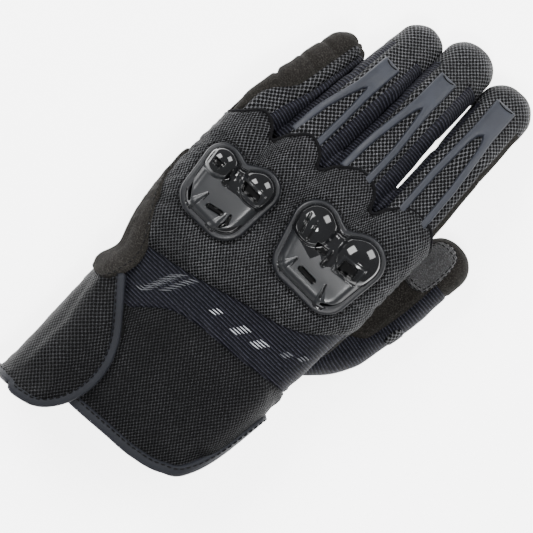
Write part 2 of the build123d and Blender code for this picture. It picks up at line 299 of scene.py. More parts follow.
# ------------------------------------------------------------------ cloth
def inflate(p, n, pinned, pressure, low, high, slack=0.04, frames=14):
    """Outward travel in mm of a sheet sewn down where pinned, by cloth simulation at ten times the size."""
    scene = bpy.context.scene
    me = bpy.data.meshes.new("cloth_work")
    outward = np.sum(np.cross(np.gradient(p, axis=1), np.gradient(p, axis=0)) * n) > 0
    faces = grid_faces(*p.shape[:2])
    me.from_pydata((p.reshape(-1, 3) * MM * 10).tolist(), [], (faces if outward else faces[:, ::-1]).tolist())
    ob = bpy.data.objects.new("cloth_work", me)
    scene.collection.objects.link(ob)
    group = ob.vertex_groups.new(name="sewn")
    for i, w in enumerate(pinned.ravel()):
        if w > 0:
            group.add([i], float(w), "REPLACE")
    cloth = ob.modifiers.new("cloth", "CLOTH")
    c = cloth.settings
    c.quality, c.mass, c.air_damping = 6, 0.25, 1.0
    c.tension_stiffness, c.compression_stiffness, c.shear_stiffness, c.bending_stiffness = 12, 12, 4, 0.25
    c.use_pressure, c.uniform_pressure_force = True, pressure
    c.vertex_group_mass, c.pin_stiffness = "sewn", 1.0
    c.shrink_min = -slack
    c.effector_weights.gravity = 0
    cloth.collision_settings.use_collision = False
    cloth.point_cache.frame_start, cloth.point_cache.frame_end = 1, frames
    scene.frame_end = frames
    for f in range(1, frames + 1):
        scene.frame_set(f)
    done = ob.evaluated_get(bpy.context.evaluated_depsgraph_get()).to_mesh()
    q = np.zeros(len(done.vertices) * 3, np.float32)
    done.vertices.foreach_get("co", q)
    moved = q.reshape(p.shape) / (MM * 10) - p
    bpy.data.objects.remove(ob)
    scene.frame_set(1)
    travel = np.sum(moved * n, -1)
    return np.clip(np.nan_to_num(travel), low, high)


def border(shape, rim=1):
    """1 round the rim of a grid, 0 inside."""
    m = np.ones(shape)
    m[rim:-rim, rim:-rim] = 0
    return m


def spread(coarse, rows, cols, shape):
    """A coarse grid's values at every point of the full grid."""
    half = np.stack([np.interp(np.arange(shape[1]), cols, line) for line in coarse])
    return np.stack([np.interp(np.arange(shape[0]), rows, half[:, j]) for j in range(shape[1])], 1)


# ------------------------------------------------------------------ materials
MATH = {"mul": "MULTIPLY", "add": "ADD", "sub": "SUBTRACT", "div": "DIVIDE", "sine": "SINE", "least": "MINIMUM",
        "fract": "FRACT", "root": "SQRT"}


class Graph:
    """Small helper for one material's nodes."""

    def __init__(self, name):
        self.mat = bpy.data.materials.new(name)
        self.mat.use_nodes = True
        self.tree = self.mat.node_tree
        self.bsdf = self.tree.nodes["Principled BSDF"]
        self.coord = self.tree.nodes.new("ShaderNodeTexCoord")

    def node(self, kind, **props):
        n = self.tree.nodes.new("ShaderNode" + kind)
        for k, v in props.items():
            setattr(n, k, v)
        return n

    def put(self, socket, value):
        if isinstance(value, bpy.types.NodeSocket):
            self.tree.links.new(value, socket)
        else:
            socket.default_value = value

    def math(self, op, a, b=0.0, c=0.0):
        n = self.node("Math", operation=op)
        for s, v in zip(n.inputs, (a, b, c)):
            self.put(s, v)
        return n.outputs[0]

    def __getattr__(self, name):
        """A short name for each math operation that the materials use."""
        return functools.partial(self.math, MATH[name])

    def split(self, vector, scale):
        """Components of a coordinate, scaled to mm."""
        n = self.node("SeparateXYZ")
        m = self.node("VectorMath", operation="SCALE")
        self.put(m.inputs[0], vector)
        m.inputs["Scale"].default_value = scale
        self.put(n.inputs[0], m.outputs[0])
        return n.outputs

    def noise(self, scale, detail=3.0, rough=0.55, vector=None):
        n = self.node("TexNoise")
        self.put(n.inputs["Vector"], vector or self.coord.outputs["Object"])
        n.inputs["Scale"].default_value = scale
        n.inputs["Detail"].default_value = detail
        n.inputs["Roughness"].default_value = rough
        return n.outputs["Fac"]

    def step(self, value, low, high, out_low=0.0, out_high=1.0):
        n = self.node("MapRange", interpolation_type="SMOOTHSTEP")
        for i, v in enumerate((value, low, high, out_low, out_high)):
            self.put(n.inputs[i], v)
        return n.outputs[0]

    def mix(self, fac, a, b):
        n = self.node("Mix", data_type="RGBA")
        self.put(n.inputs[0], fac)
        for s, v in ((n.inputs[6], a), (n.inputs[7], b)):
            self.put(s, (*v, 1.0) if isinstance(v, tuple) else v)
        return n.outputs[2]

    def bump(self, height, strength, distance, below=None):
        n = self.node("Bump")
        n.inputs["Strength"].default_value = strength
        n.inputs["Distance"].default_value = distance
        self.put(n.inputs["Height"], height)
        if below is not None:
            self.put(n.inputs["Normal"], below)
        return n.outputs[0]

    def finish(self, color, rough, normal=None, **fixed):
        self.put(self.bsdf.inputs["Base Color"], (*color, 1.0) if isinstance(color, tuple) else color)
        self.put(self.bsdf.inputs["Roughness"], rough)
        if normal is not None:
            self.put(self.bsdf.inputs["Normal"], normal)
        for k, v in fixed.items():
            self.bsdf.inputs[k.replace("_", " ")].default_value = v
        return self.mat


def mesh_material(name, pitch, row, hole, tone, light):
    """Open knit: staggered oval holes between twisted filaments; the holes are painted near-black as painted shade.
    """
    g = Graph(name)
    uv = g.split(g.coord.outputs["UV"], 10.0)
    wob = g.mul(g.sub(g.noise(260, 2), 0.5), 0.5)
    u = g.add(uv[0], wob)
    v = g.add(uv[1], g.mul(wob, 0.7))
    best = None
    for shift in (0.0, 0.5):
        cu = g.sub(g.fract(g.add(g.div(u, pitch), shift)), 0.5)
        cv = g.sub(g.fract(g.add(g.div(v, 2 * row), shift)), 0.5)
        du = g.mul(cu, pitch / hole[0])
        dv = g.mul(cv, 2 * row / hole[1])
        d = g.root(g.add(g.mul(du, du), g.mul(dv, dv)))
        best = d if best is None else g.least(best, d)
    wall = g.step(best, 0.86, 1.1)
    ridge = g.step(best, 0.95, 1.42)
    fibre = g.noise(2600, 3, 0.7)
    patch = g.noise(55, 3, 0.6)
    shade = g.mul(g.mul(ridge, g.step(fibre, 0.34, 0.66)), g.step(patch, 0.2, 0.8, 0.55, 1.15))
    dark = (0.0045 * tone, 0.0046 * tone, 0.0054 * tone)
    grey = (light * tone, light * 1.02 * tone, light * 1.08 * tone)
    yarn = g.mix(shade, dark, grey)
    # painted shade: the holes are coloured near-black to stand in for the shadowed depth under the knit
    color = g.mix(wall, (0.0006, 0.0006, 0.0008), yarn)
    height = g.add(g.mul(g.step(best, 0.55, 1.5), 1.0), g.mul(fibre, 0.25))
    normal = g.bump(height, 0.85, 0.00045)
    return g.finish(color, 0.62, normal, Specular_IOR_Level=0.08)


def rib_material(name, pitch, crest_highlight_level):
    """Ribbed stretch knit; ribs are lines of constant v, with a painted highlight on their crests."""
    g = Graph(name)
    uv = g.split(g.coord.outputs["UV"], 10.0)
    wob = g.mul(g.sub(g.noise(160, 2), 0.5), 0.55)
    phase = g.mul(g.add(uv[1], wob), 2 * math.pi / pitch)
    wave = g.add(g.mul(g.sine(phase), 0.5), 0.5)
    knit = g.add(g.mul(g.sine(g.mul(uv[0], 2 * math.pi / 0.62)), 0.5), 0.5)
    fibre = g.noise(2400, 3, 0.7)
    height = g.add(wave, g.mul(g.mul(knit, wave), 0.25))
    # painted highlight: the rib crests are coloured lighter where light would glint on them, broken up by fibre noise
    crest_highlight = g.mul(g.step(wave, 0.45, 1.0), g.step(fibre, 0.35, 0.7))
    color = g.mix(crest_highlight, (0.0022, 0.0023, 0.0042), (crest_highlight_level * 0.82, crest_highlight_level * 0.84, crest_highlight_level * 1.15))
    normal = g.bump(height, 0.9, 0.0005)
    return g.finish(color, 0.7, normal, Specular_IOR_Level=0.12)


def suede_material(name, base=(0.0062, 0.0057, 0.005), fleck=(0.042, 0.039, 0.035)):
    """Brushed suede with a worn nap."""
    g = Graph(name)
    fine = g.noise(1500, 4, 0.75)
    nap = g.noise(90, 4, 0.6)
    color = g.mix(g.step(fine, 0.42, 0.78), base, fleck)
    worn = g.mix(g.step(nap, 0.35, 0.75, 0.0, 0.45), color, tuple(c * 1.9 for c in base))
    normal = g.bump(fine, 0.55, 0.00025, g.bump(nap, 0.35, 0.0008))
    return g.finish(worn, 0.92, normal, Sheen_Weight=0.015, Sheen_Roughness=0.6, Specular_IOR_Level=0.06)


def leather_material(name, base=(0.02, 0.02, 0.0215), scale=1050):
    """Leather with a grain of small raised cells."""
    g = Graph(name)
    v = g.node("TexVoronoi", feature="DISTANCE_TO_EDGE")
    g.put(v.inputs["Vector"], g.coord.outputs["Object"])
    v.inputs["Scale"].default_value = scale
    v.inputs["Randomness"].default_value = 0.9
    cell = g.step(v.outputs["Distance"], 0.0, 0.22)
    wear = g.noise(120, 4, 0.6)
    color = g.mix(cell, tuple(c * 0.35 for c in base), g.mix(wear, base, tuple(c * 2.1 for c in base)))
    normal = g.bump(cell, 0.8, 0.0003)
    rough = g.step(wear, 0.3, 0.8, 0.42, 0.62)
    return g.finish(color, rough, normal, Specular_IOR_Level=0.5)


def plastic_material(name, color, rough, grain=0.0, dust=0.0, spec=0.5):
    """Moulded plastic, thread or print, with wear in patches and dust as fine specks."""
    g = Graph(name)
    wear = g.noise(140, 5, 0.6)
    fine = g.noise(3200, 2, 0.6)
    tint = g.mix(g.step(wear, 0.35, 0.8), tuple(c * 0.86 for c in color), tuple(min(1, c * 1.22) for c in color))
    if dust:
        tint = g.mix(g.step(fine, 0.66, 0.8, 0.0, dust), tint, (0.35, 0.35, 0.36))
    roughness = g.step(wear, 0.25, 0.85, rough * 0.85, min(1, rough * 1.25))
    normal = g.bump(fine, grain, 0.00012) if grain else None
    return g.finish(tint, roughness, normal, Specular_IOR_Level=spec)


def tape_material(name, color):
    """Smooth woven binding tape."""
    g = Graph(name)
    uv = g.split(g.coord.outputs["UV"], 10.0)
    a = g.sine(g.mul(uv[1], 2 * math.pi / 0.5))
    b = g.sine(g.mul(uv[0], 2 * math.pi / 0.5))
    weave = g.mul(a, b)
    wear = g.noise(130, 4, 0.6)
    tint = g.mix(wear, tuple(c * 0.72 for c in color), tuple(c * 1.3 for c in color))
    normal = g.bump(g.add(weave, g.mul(wear, 3.0)), 0.3, 0.00012)
    return g.finish(tint, 0.6, normal, Specular_IOR_Level=0.2)


MESH = mesh_material("mesh_fabric", pitch=2.1, row=1.2, hole=(0.58, 0.66), tone=1.0, light=0.14)
MESH_SOFT = mesh_material("mesh_fabric_back", pitch=1.85, row=1.08, hole=(0.49, 0.56), tone=0.95, light=0.108)
MESH_CUFF = mesh_material("mesh_fabric_cuff", pitch=1.75, row=1.15, hole=(0.49, 0.63), tone=0.85, light=0.05)
RIB = rib_material("rib_knit", pitch=1.45, crest_highlight_level=0.055)
RIB_BAND = rib_material("rib_band", pitch=1.45, crest_highlight_level=0.05)
SUEDE = suede_material("suede")
LEATHER = leather_material("grained_leather")
FLANGE = plastic_material("guard_flange", (0.0062, 0.0068, 0.0088), 0.42, grain=0.15, spec=0.3)
SLIDER = plastic_material("slider", (0.017, 0.0195, 0.027), 0.52, grain=0.25, dust=0.03, spec=0.28)
TAPE = tape_material("binding", (0.0068, 0.0078, 0.0112))
THREAD = plastic_material("thread", (0.0025, 0.0025, 0.003), 0.7, spec=0.12)
LINING = suede_material("lining", (0.003, 0.003, 0.0035), (0.008, 0.008, 0.009))
PRINT = plastic_material("reflective_print", (0.42, 0.44, 0.47), 0.35, grain=0.3, spec=0.6)
# a dimmer copy of the print, for the fainter dashes
PRINT_DIM = plastic_material("reflective_print_dim", (0.09, 0.095, 0.105), 0.45, grain=0.3, spec=0.4)
HOOK = suede_material("hook_loop", (0.003, 0.003, 0.003), (0.014, 0.014, 0.014))


# ------------------------------------------------------------------ pieces cut from a shared surface
def cut(name, p, n, uv, mask, mat, replaced=(), flip=False):
    """The faces of grid p where mask[v, u] is true, as one piece with the whole surface's normals."""
    nv, nu = p.shape[:2]
    faces = grid_faces(nv, nu)[mask.ravel()]
    used, index = np.unique(faces, return_inverse=True)
    faces = index.reshape(-1, 4)
    if flip:
        faces = faces[:, ::-1]
    ob = add_mesh(name, p.reshape(-1, 3)[used], faces, mat, uv.reshape(-1, 2)[used])
    sign = -1 if flip else 1
    ob.data.normals_split_custom_set_from_vertices((sign * n.reshape(-1, 3)[used]).tolist())
    if replaced:
        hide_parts(*replaced)
    return ob


def over_wrist(ob):
    """Bakes a piece's placement into its mesh."""
    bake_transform(ob)
    return ob


# ------------------------------------------------------------------ guard outlines
def cone(x, y, a, b):
    """Signed distance to a tapered capsule from a to b, each x, y, radius."""
    return np.minimum.reduce([np.hypot(x - cx, y - cy) - r for cx, cy, r in np.linspace(a, b, 25)])


def smooth_min(a, b, k):
    """The lesser of two distances, blended over k mm."""
    h = np.clip(0.5 + 0.5 * (b - a) / k, 0, 1)
    return b + (a - b) * h - k * h * (1 - h)


def path_cone(x, y, pts):
    """Signed distance to a chain of tapered capsules."""
    return np.minimum.reduce([cone(x, y, a, b) for a, b in zip(pts[:-1], pts[1:])])


def poly_sdf(x, y, pts):
    """Signed distance to a polygon, negative inside."""
    pts = np.asarray(pts, float)
    best = np.full(x.shape, 1e9)
    sign = np.ones(x.shape)
    for a, b in zip(pts, np.roll(pts, -1, 0)):
        e = b - a
        wx, wy = x - a[0], y - a[1]
        k = np.clip((wx * e[0] + wy * e[1]) / (e @ e), 0, 1)
        best = np.minimum(best, np.hypot(wx - e[0] * k, wy - e[1] * k))
        c1, c2 = y >= a[1], y < b[1]
        c3 = e[0] * wy > e[1] * wx
        flip = (c1 & c2 & c3) | (~c1 & ~c2 & ~c3)
        sign = np.where(flip, -sign, sign)
    return sign * best


def on(d, soft=0.3):
    """1 inside a shape, 0 outside, with a soft edge."""
    return np.clip(0.5 - d / soft, 0, 1)


# The knuckle guards, in plan mm. A third number is a radius: domes and feet make the outline, field is the
# grey area of painted reflection, and the rest are sunk or raised details, most of them chains of tapered capsules.
GUARDS = {
    "index_middle": dict(
        domes=((-1.5, 17.5, 11.3), (23.2, 19, 12.2)), feet=((3.6, 0.2, 11.2), (22, 0.2, 11.4)), centre=(10.8, 6.5),
        field=[(-9, 9.5), (-2, 7.4), (7, 4.6), (9, 9), (13, 6.2), (17, 8.5), (28, 12.5), (31, 13.5), (33, 8),
               (31, -1), (25, -8), (-1, -8.5), (-8, 0)],
        holes=[[(7.2, -1.3, 1.15), (14.8, -1.7, 1.15)], [(-9.3, 5.5, 0.3), (-8.3, -0.6, 1.1), (-4.2, -5.0, 0.35)],
               [(24.3, -6.4, 0.35), (29.4, -4.0, 1.15), (32.4, 2.4, 0.3)]],
        windows=[[(4.5, 12.2), (10.2, 13.0), (11.0, 9.8), (5.6, 9.2)],
                 [(18.6, 14.6), (25.8, 15.6), (26.6, 10.6), (19.0, 9.4)]],
        frames=[[(16.8, 16.6), (28.6, 17.8), (29.6, 8.8), (17.0, 7.2)]],
        bars=[[(-6.5, 19, 0.35), (-4.2, 10.5, 0.75)], [(-1.5, 18, 0.3), (0.3, 10.0, 0.7)],
              [(12.6, 13.5, 0.5), (13.0, 6.8, 1.35)]],
        fangs=[[(-0.8, -8.4, 2.4), (2.4, 1.0, 0.25)], [(24.0, -8.2, 2.4), (19.6, 0.8, 0.25)]],
        lines=[[(3.2, -3.4, 0.15), (2.8, 0.8, 0.5)], [(21.9, -4.6, 0.5), (20.2, 1.2, 0.35)]],
    ),
    "ring_pinky": dict(
        domes=((-50.3, 8.5, 8.9), (-30.6, 10.8, 10.0)), feet=((-46, -7.4, 11.2), (-33.6, -7.0, 12.0)),
        centre=(-41.5, 0.5),
        field=[(-57.5, 3.5), (-50, 2.6), (-43, 5.5), (-41, 1.5), (-36, 2.2), (-24, 3.0), (-23.5, -4), (-33, -17),
               (-49, -17.5), (-56, -6)],
        holes=[[(-41.4, -9.6, 1.05), (-35.4, -8.3, 1.05)],
               [(-57.6, 1.5, 0.3), (-55.6, -6.4, 1.2), (-49.6, -13.4, 0.35)],
               [(-31.6, -13.4, 0.3), (-30.4, -9.8, 0.95), (-31.4, -6.0, 0.3)]],
        windows=[[(-53.6, 8.0), (-48.6, 8.2), (-49.4, 5.4), (-53.0, 5.6)],
                 [(-37.4, 9.4), (-27.6, 9.0), (-26.8, 5.6), (-35.4, 5.4)]],
        frames=[[(-39.6, 11.0), (-25.8, 10.8), (-24.6, 4.0), (-36.6, 3.8)]],
        bars=[[(-44.4, 8.6, 0.35), (-43.0, 2.6, 1.5)], [(-56.0, 12.0, 0.3), (-55.2, 4.4, 0.5)]],
        fangs=[[(-48.8, -16.6, 2.3), (-45.6, -5.6, 0.25)], [(-34.6, -17.0, 2.3), (-33.2, -6.8, 0.25)]],
        lines=[[(-44.9, -9.4, 0.15), (-45.2, -5.8, 0.45)], [(-35.0, -10.0, 0.15), (-33.8, -7.2, 0.35)]],
    ),
}


def guard_edge(g, x, y):
    """Signed distance in mm to a guard's outline, negative inside."""
    (a, b), (f1, f2) = g["domes"], g["feet"]
    arms = np.minimum.reduce([cone(x, y, *ends) for ends in ((a, f1), (a, f2), (b, f1), (b, f2), (f1, f2))])
    bridge = cone(x, y, (*a[:2], a[2] * 0.6), (*b[:2], b[2] * 0.6))
    return np.minimum(smooth_min(arms, bridge, 4.5), poly_sdf(x, y, [a[:2], b[:2], f2[:2], f1[:2]]))


# ------------------------------------------------------------------ hand and cuff surface
STATION = [-132, -114, -80, -60, -50, -36, -24, -12, 4, 16, 40, 56]
LEFT = curve(STATION, [-55.5, -55.5, -56, -55.8, -57, -61.5, -63.6, -64.8, -65.3, -65.3, -64.6, -62])
RIGHT = curve(STATION, [41, 41, 41.8, 41.6, 41.2, 42.6, 43, 43.3, 43.6, 43.8, 44, 43.5])
BOTTOM = curve(STATION, [2.4, 2.4, 2.2, 2.6, 3.2, 1.8, 1.6, 1.6, 12, 22.3, 22.6, 23])
TOP = curve(STATION, [41.4, 41.4, 41.6, 41.4, 40.6, 41.6, 44.2, 45.6, 46.2, 46.2, 45.5, 43.9])
CORNER = curve(STATION, [17, 17, 17, 16, 14.5, 11.8, 11.4, 11.4, 11.4, 11.4, 11, 10])


def body(s, y):
    """Point of the hand and cuff at s mm round from the middle of the back, at that y."""
    l, r, b, t, c = LEFT(y), RIGHT(y), BOTTOM(y), TOP(y), CORNER(y)
    x, z = rounded(s, (r - l) / 2, (t - b) / 2, c)
    return np.stack([(l + r) / 2 + x, y + 0 * x, (t + b) / 2 + z], -1)


def around(q, y):
    """Arc length at q: 0 to 1 the flat back, 1 to 2 its corner, 2 to 3 the side, 3 to 4 a corner, 4 to 5 the palm."""
    a, h, c = (RIGHT(y) - LEFT(y)) / 2, (TOP(y) - BOTTOM(y)) / 2, CORNER(y)
    l1 = a - c
    l2 = l1 + math.pi * c / 2
    l3 = l2 + 2 * (h - c)
    l4 = l3 + math.pi * c / 2
    t = np.abs(q)
    s = np.minimum(t, 1) * l1 + np.clip(t - 1, 0, 1) * (l2 - l1) + np.clip(t - 2, 0, 1) * (l3 - l2)
    s = s + np.clip(t - 3, 0, 1) * (l4 - l3) + np.clip(t - 4, 0, 1) * l1
    return np.sign(q) * s


def s_of_x(x, y):
    """Arc length of the point of the back at x."""
    a, c = (RIGHT(y) - LEFT(y)) / 2, CORNER(y)
    d = x - (RIGHT(y) + LEFT(y)) / 2
    t = np.abs(d)
    k = np.arcsin(np.clip((t - (a - c)) / c, 0, 1))
    return np.sign(d) * np.where(t < a - c, t, a - c + c * k)


MIDDLE = np.array([-10.0, 0.0, 22.0])  # on the line up the middle of the hand and cuff


def outward(p):
    """Normals of a grid on the hand or cuff, away from its middle line."""
    return facing(normals_of(p), (p - MIDDLE) * [1, 0, 1])


def body_patch(s_from, s_to, y, count):
    """Grid on the hand and cuff between two edges given per y: arc lengths, y, points and normals."""
    s = s_from[:, None] + (s_to - s_from)[:, None] * np.linspace(0, 1, count)
    y = np.broadcast_to(y[:, None], s.shape)
    p = body(s, y)
    return s, y, p, outward(p)


CUFF_END = curve([-60, -40, -26, -4, 11, 25, 33.5, 39, 41.6], [-113, -114.5, -115, -114, -113, -109, -102, -85, -64])
RIB_REAR = curve([-60, -36, -32, -23, -12, 15, 39, 44], [-67, -66.5, -63, -55.5, -52, -49.5, -47, -47])
RIB_FRONT = curve([-65, -48, -31, -4, 27, 42, 44], [-46, -41, -38, -31, -21.5, -9, -7])
SCALLOP = curve(
    [-66, -60, -52, -46, -42, -37, -29.5, -22.5, -18, -12.5, -2, 7.5, 12.5, 17.5, 27, 37, 43, 45],
    [26, 31, 37.5, 35, 30.5, 38, 44, 41, 35.5, 42, 48.5, 45, 37.5, 45, 52, 50.5, 45, 43],
)


def row_at(func, q, palm=None):
    """y at each q of an edge that func gives by x on the back, going to y = palm on the palm side."""
    y = np.full_like(q, -40.0)
    for _ in range(6):
        y = func(body(around(q, y), y)[..., 0])
        if palm is not None:
            y = y + (palm - y) * ramp(np.abs(q), 2.0, 3.2)
    return y


def q_columns():
    """The grid's columns, close together where the surface turns."""
    half = np.concatenate([
        np.linspace(0, 1, 56), np.linspace(1, 2, 22)[1:], np.linspace(2, 3, 20)[1:],
        np.linspace(3, 4, 18)[1:], np.linspace(4, 5, 36)[1:],
    ])
    return np.concatenate([-half[::-1], half[1:]])


Q = q_columns()
SIDE_SEAM = 2.35  # the back panels' edge, in the middle of the side
LINING_DEPTH = 1.7
KEYS = [row_at(CUFF_END, Q), row_at(RIB_REAR, Q), row_at(RIB_FRONT, Q, -36), row_at(SCALLOP, Q, 43)]
KEYS[1] = np.maximum(KEYS[1], KEYS[0] + 4)
ROWS = (64, 30, 96)
ys, zone = [], []
for k, count in enumerate(ROWS):
    f = (1 - np.cos(np.linspace(0, math.pi, count + 1))) / 2
    f = 0.55 * f + 0.45 * np.linspace(0, 1, count + 1)
    for i, v in enumerate(f[:-1] if k < 2 else f):
        ys.append(KEYS[k] + (KEYS[k + 1] - KEYS[k]) * v)
        zone.append(k)
Y, zone = np.array(ys), np.array(zone)
BASE = body(around(np.broadcast_to(Q, Y.shape), Y), Y)
BASE_N = outward(BASE)
UV_U = arc_lengths(BASE)[0]
UV = np.stack([UV_U - UV_U[:, len(Q) // 2:len(Q) // 2 + 1], Y], -1)
d1, d2, d3 = np.abs(Y - KEYS[1]), np.abs(Y - KEYS[2]), np.abs(KEYS[3] - Y)
row_zone = zone[:, None] + 0 * Y
back = 0.7 * (1 - np.exp(-((d2 / 2.6) ** 2))) - 0.7 * np.exp(-((d3 / 1.6) ** 2)) - 0.4
rib = -1.3 + 0.9 * np.exp(-(((d1 - 1.0) / 0.55) ** 2)) + 0.9 * np.exp(-(((d1 - 2.6) / 0.55) ** 2))
cuff = -0.5 + 0.7 * (1 - np.exp(-((d1 / 2.5) ** 2)))
puff = np.where(row_zone == 2, back, np.where(row_zone == 1, rib, cuff))
puff = puff + 0.3 * noise(BASE, 19, 1) + 0.12 * noise(BASE, 8, 2)
puff = puff - 0.8 * np.exp(-(((np.abs(Q)[None] - SIDE_SEAM) / 0.035) ** 2)) * (row_zone == 2)
HAND_ROW = ROWS[0] + ROWS[1]
BACK_COLS = np.where(np.abs(Q) < SIDE_SEAM + 0.01)[0]
for first, last, force, top in ((HAND_ROW, len(Y) - 1, 2.2, 1.5), (1, ROWS[0], 1.6, 1.3)):
    rows = np.unique(np.append(np.arange(first, last, 2), last))
    cols = np.unique(np.append(BACK_COLS[::2], BACK_COLS[-1]))
    p, n = BASE[np.ix_(rows, cols)], BASE_N[np.ix_(rows, cols)]
    sewn = border(p.shape[:2])
    if first == HAND_ROW:
        for g in GUARDS.values():
            sewn = np.maximum(sewn, (guard_edge(g, p[..., 0], p[..., 1]) < 0.6) * 1.0)
    travel = inflate(p, n, sewn, force, -0.5, top)
    field = spread(travel, rows - first, cols - cols[0], (last - first + 1, cols[-1] - cols[0] + 1))
    span = np.s_[first:last + 1, cols[0]:cols[-1] + 1]
    puff[span] += field * ramp((Y - KEYS[0])[span], 3.5, 12)
for g in GUARDS.values():
    under = on(guard_edge(g, BASE[..., 0], BASE[..., 1]) - 0.4, 2.4) * (BASE[..., 2] > 38)
    puff = puff * (1 - under) + np.minimum(puff, 0.35) * under
SKIN = BASE + BASE_N * puff[..., None]
SKIN_N = facing(normals_of(SKIN), BASE_N)
face_row = zone[:-1][:, None] + 0 * Y[:-1, :-1]
face_q = np.abs((Q[1:] + Q[:-1]) / 2)[None] + 0 * Y[:-1, :-1]

front, skin_pieces = face_q < SIDE_SEAM, {}
for name, mask, mat, slot, nodes in (
    ("hand_back_mesh", (face_row == 2) & front, MESH_SOFT, "mesh_fabric", ["hand_back_panel"]),
    ("hand_palm_suede", (face_row == 2) & ~front, SUEDE, "suede",
     ["hand_palm_panel", "ulnar_side_panel", "radial_side_panel"]),
    ("wrist_rib", face_row == 1, RIB_BAND, "rib_knit", ["wrist_rib_band"]),
    ("cuff_back_mesh", (face_row == 0) & front, MESH_CUFF, "mesh_fabric", ["cuff_back_panel"]),
    ("cuff_palm_mesh", (face_row == 0) & ~front, MESH_CUFF, "mesh_fabric", ["cuff_palm_panel"]),
):
    skin_pieces[name] = over_wrist(cut(name, SKIN, SKIN_N, UV, mask, mat, nodes))
over_wrist(cut("glove_lining", SKIN - SKIN_N * LINING_DEPTH, SKIN_N, UV, face_row >= 0, LINING, flip=True))

# cap behind the finger roots
CAP_Y = np.full_like(Q, 33.0)
rim = body(around(Q, CAP_Y), CAP_Y)
mid = rim.mean(0)
CAP = np.array([mid + (rim - mid) * k + [0, 1.5 * (1 - k * k), 0] for k in np.linspace(0.02, 0.985, 14)])
cap = cut("finger_web_cap", CAP, 0 * CAP + [0, 1, 0], np.stack([CAP[..., 0], CAP[..., 2]], -1),
          np.ones((13, len(Q) - 1), bool), RIB)
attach(cap, "hand")


def web_pad(name, where, size, lean):
    """Rib-knit web between two finger roots: a cushion standing on edge."""
    th, ph = np.meshgrid(np.linspace(0, math.pi, 22), np.linspace(0, 2 * math.pi, 33))
    ball = np.stack([np.sin(th) * np.cos(ph), np.cos(th), np.sin(th) * np.sin(ph)], -1)
    p = np.sign(ball) * np.abs(ball) ** 0.8 * size
    c, q = math.cos(lean), math.sin(lean)
    turned = np.stack([p[..., 0] * c + p[..., 1] * q, p[..., 1] * c - p[..., 0] * q, p[..., 2]], -1) + where
    ob = add_mesh(name, turned.reshape(-1, 3), grid_faces(33, 22), RIB,
                  np.stack([p[..., 2], p[..., 1]], -1).reshape(-1, 2))
    settle(ob, "rib_knit", "hand")


web_pad("web_pinky_ring", (-41.3, 32, 31.5), (3.2, 13, 8.5), 0.1)
web_pad("web_ring_middle", (-16.2, 37, 32.5), (3.0, 15, 9.5), 0.03)
web_pad("web_middle_index", (13.4, 39, 33), (3.0, 16, 9.5), -0.02)


# ------------------------------------------------------------------ fingers
def bend_span(tube, at, behind, ahead):
    """Start and end in metres of a bend round the joint that is at mm along a sleeve."""
    c, d = (v[0] for v in tube.frame(np.array([at]))[:2])
    return ((c - d * behind) * MM).tolist(), ((c + d * ahead) * MM).tolist()


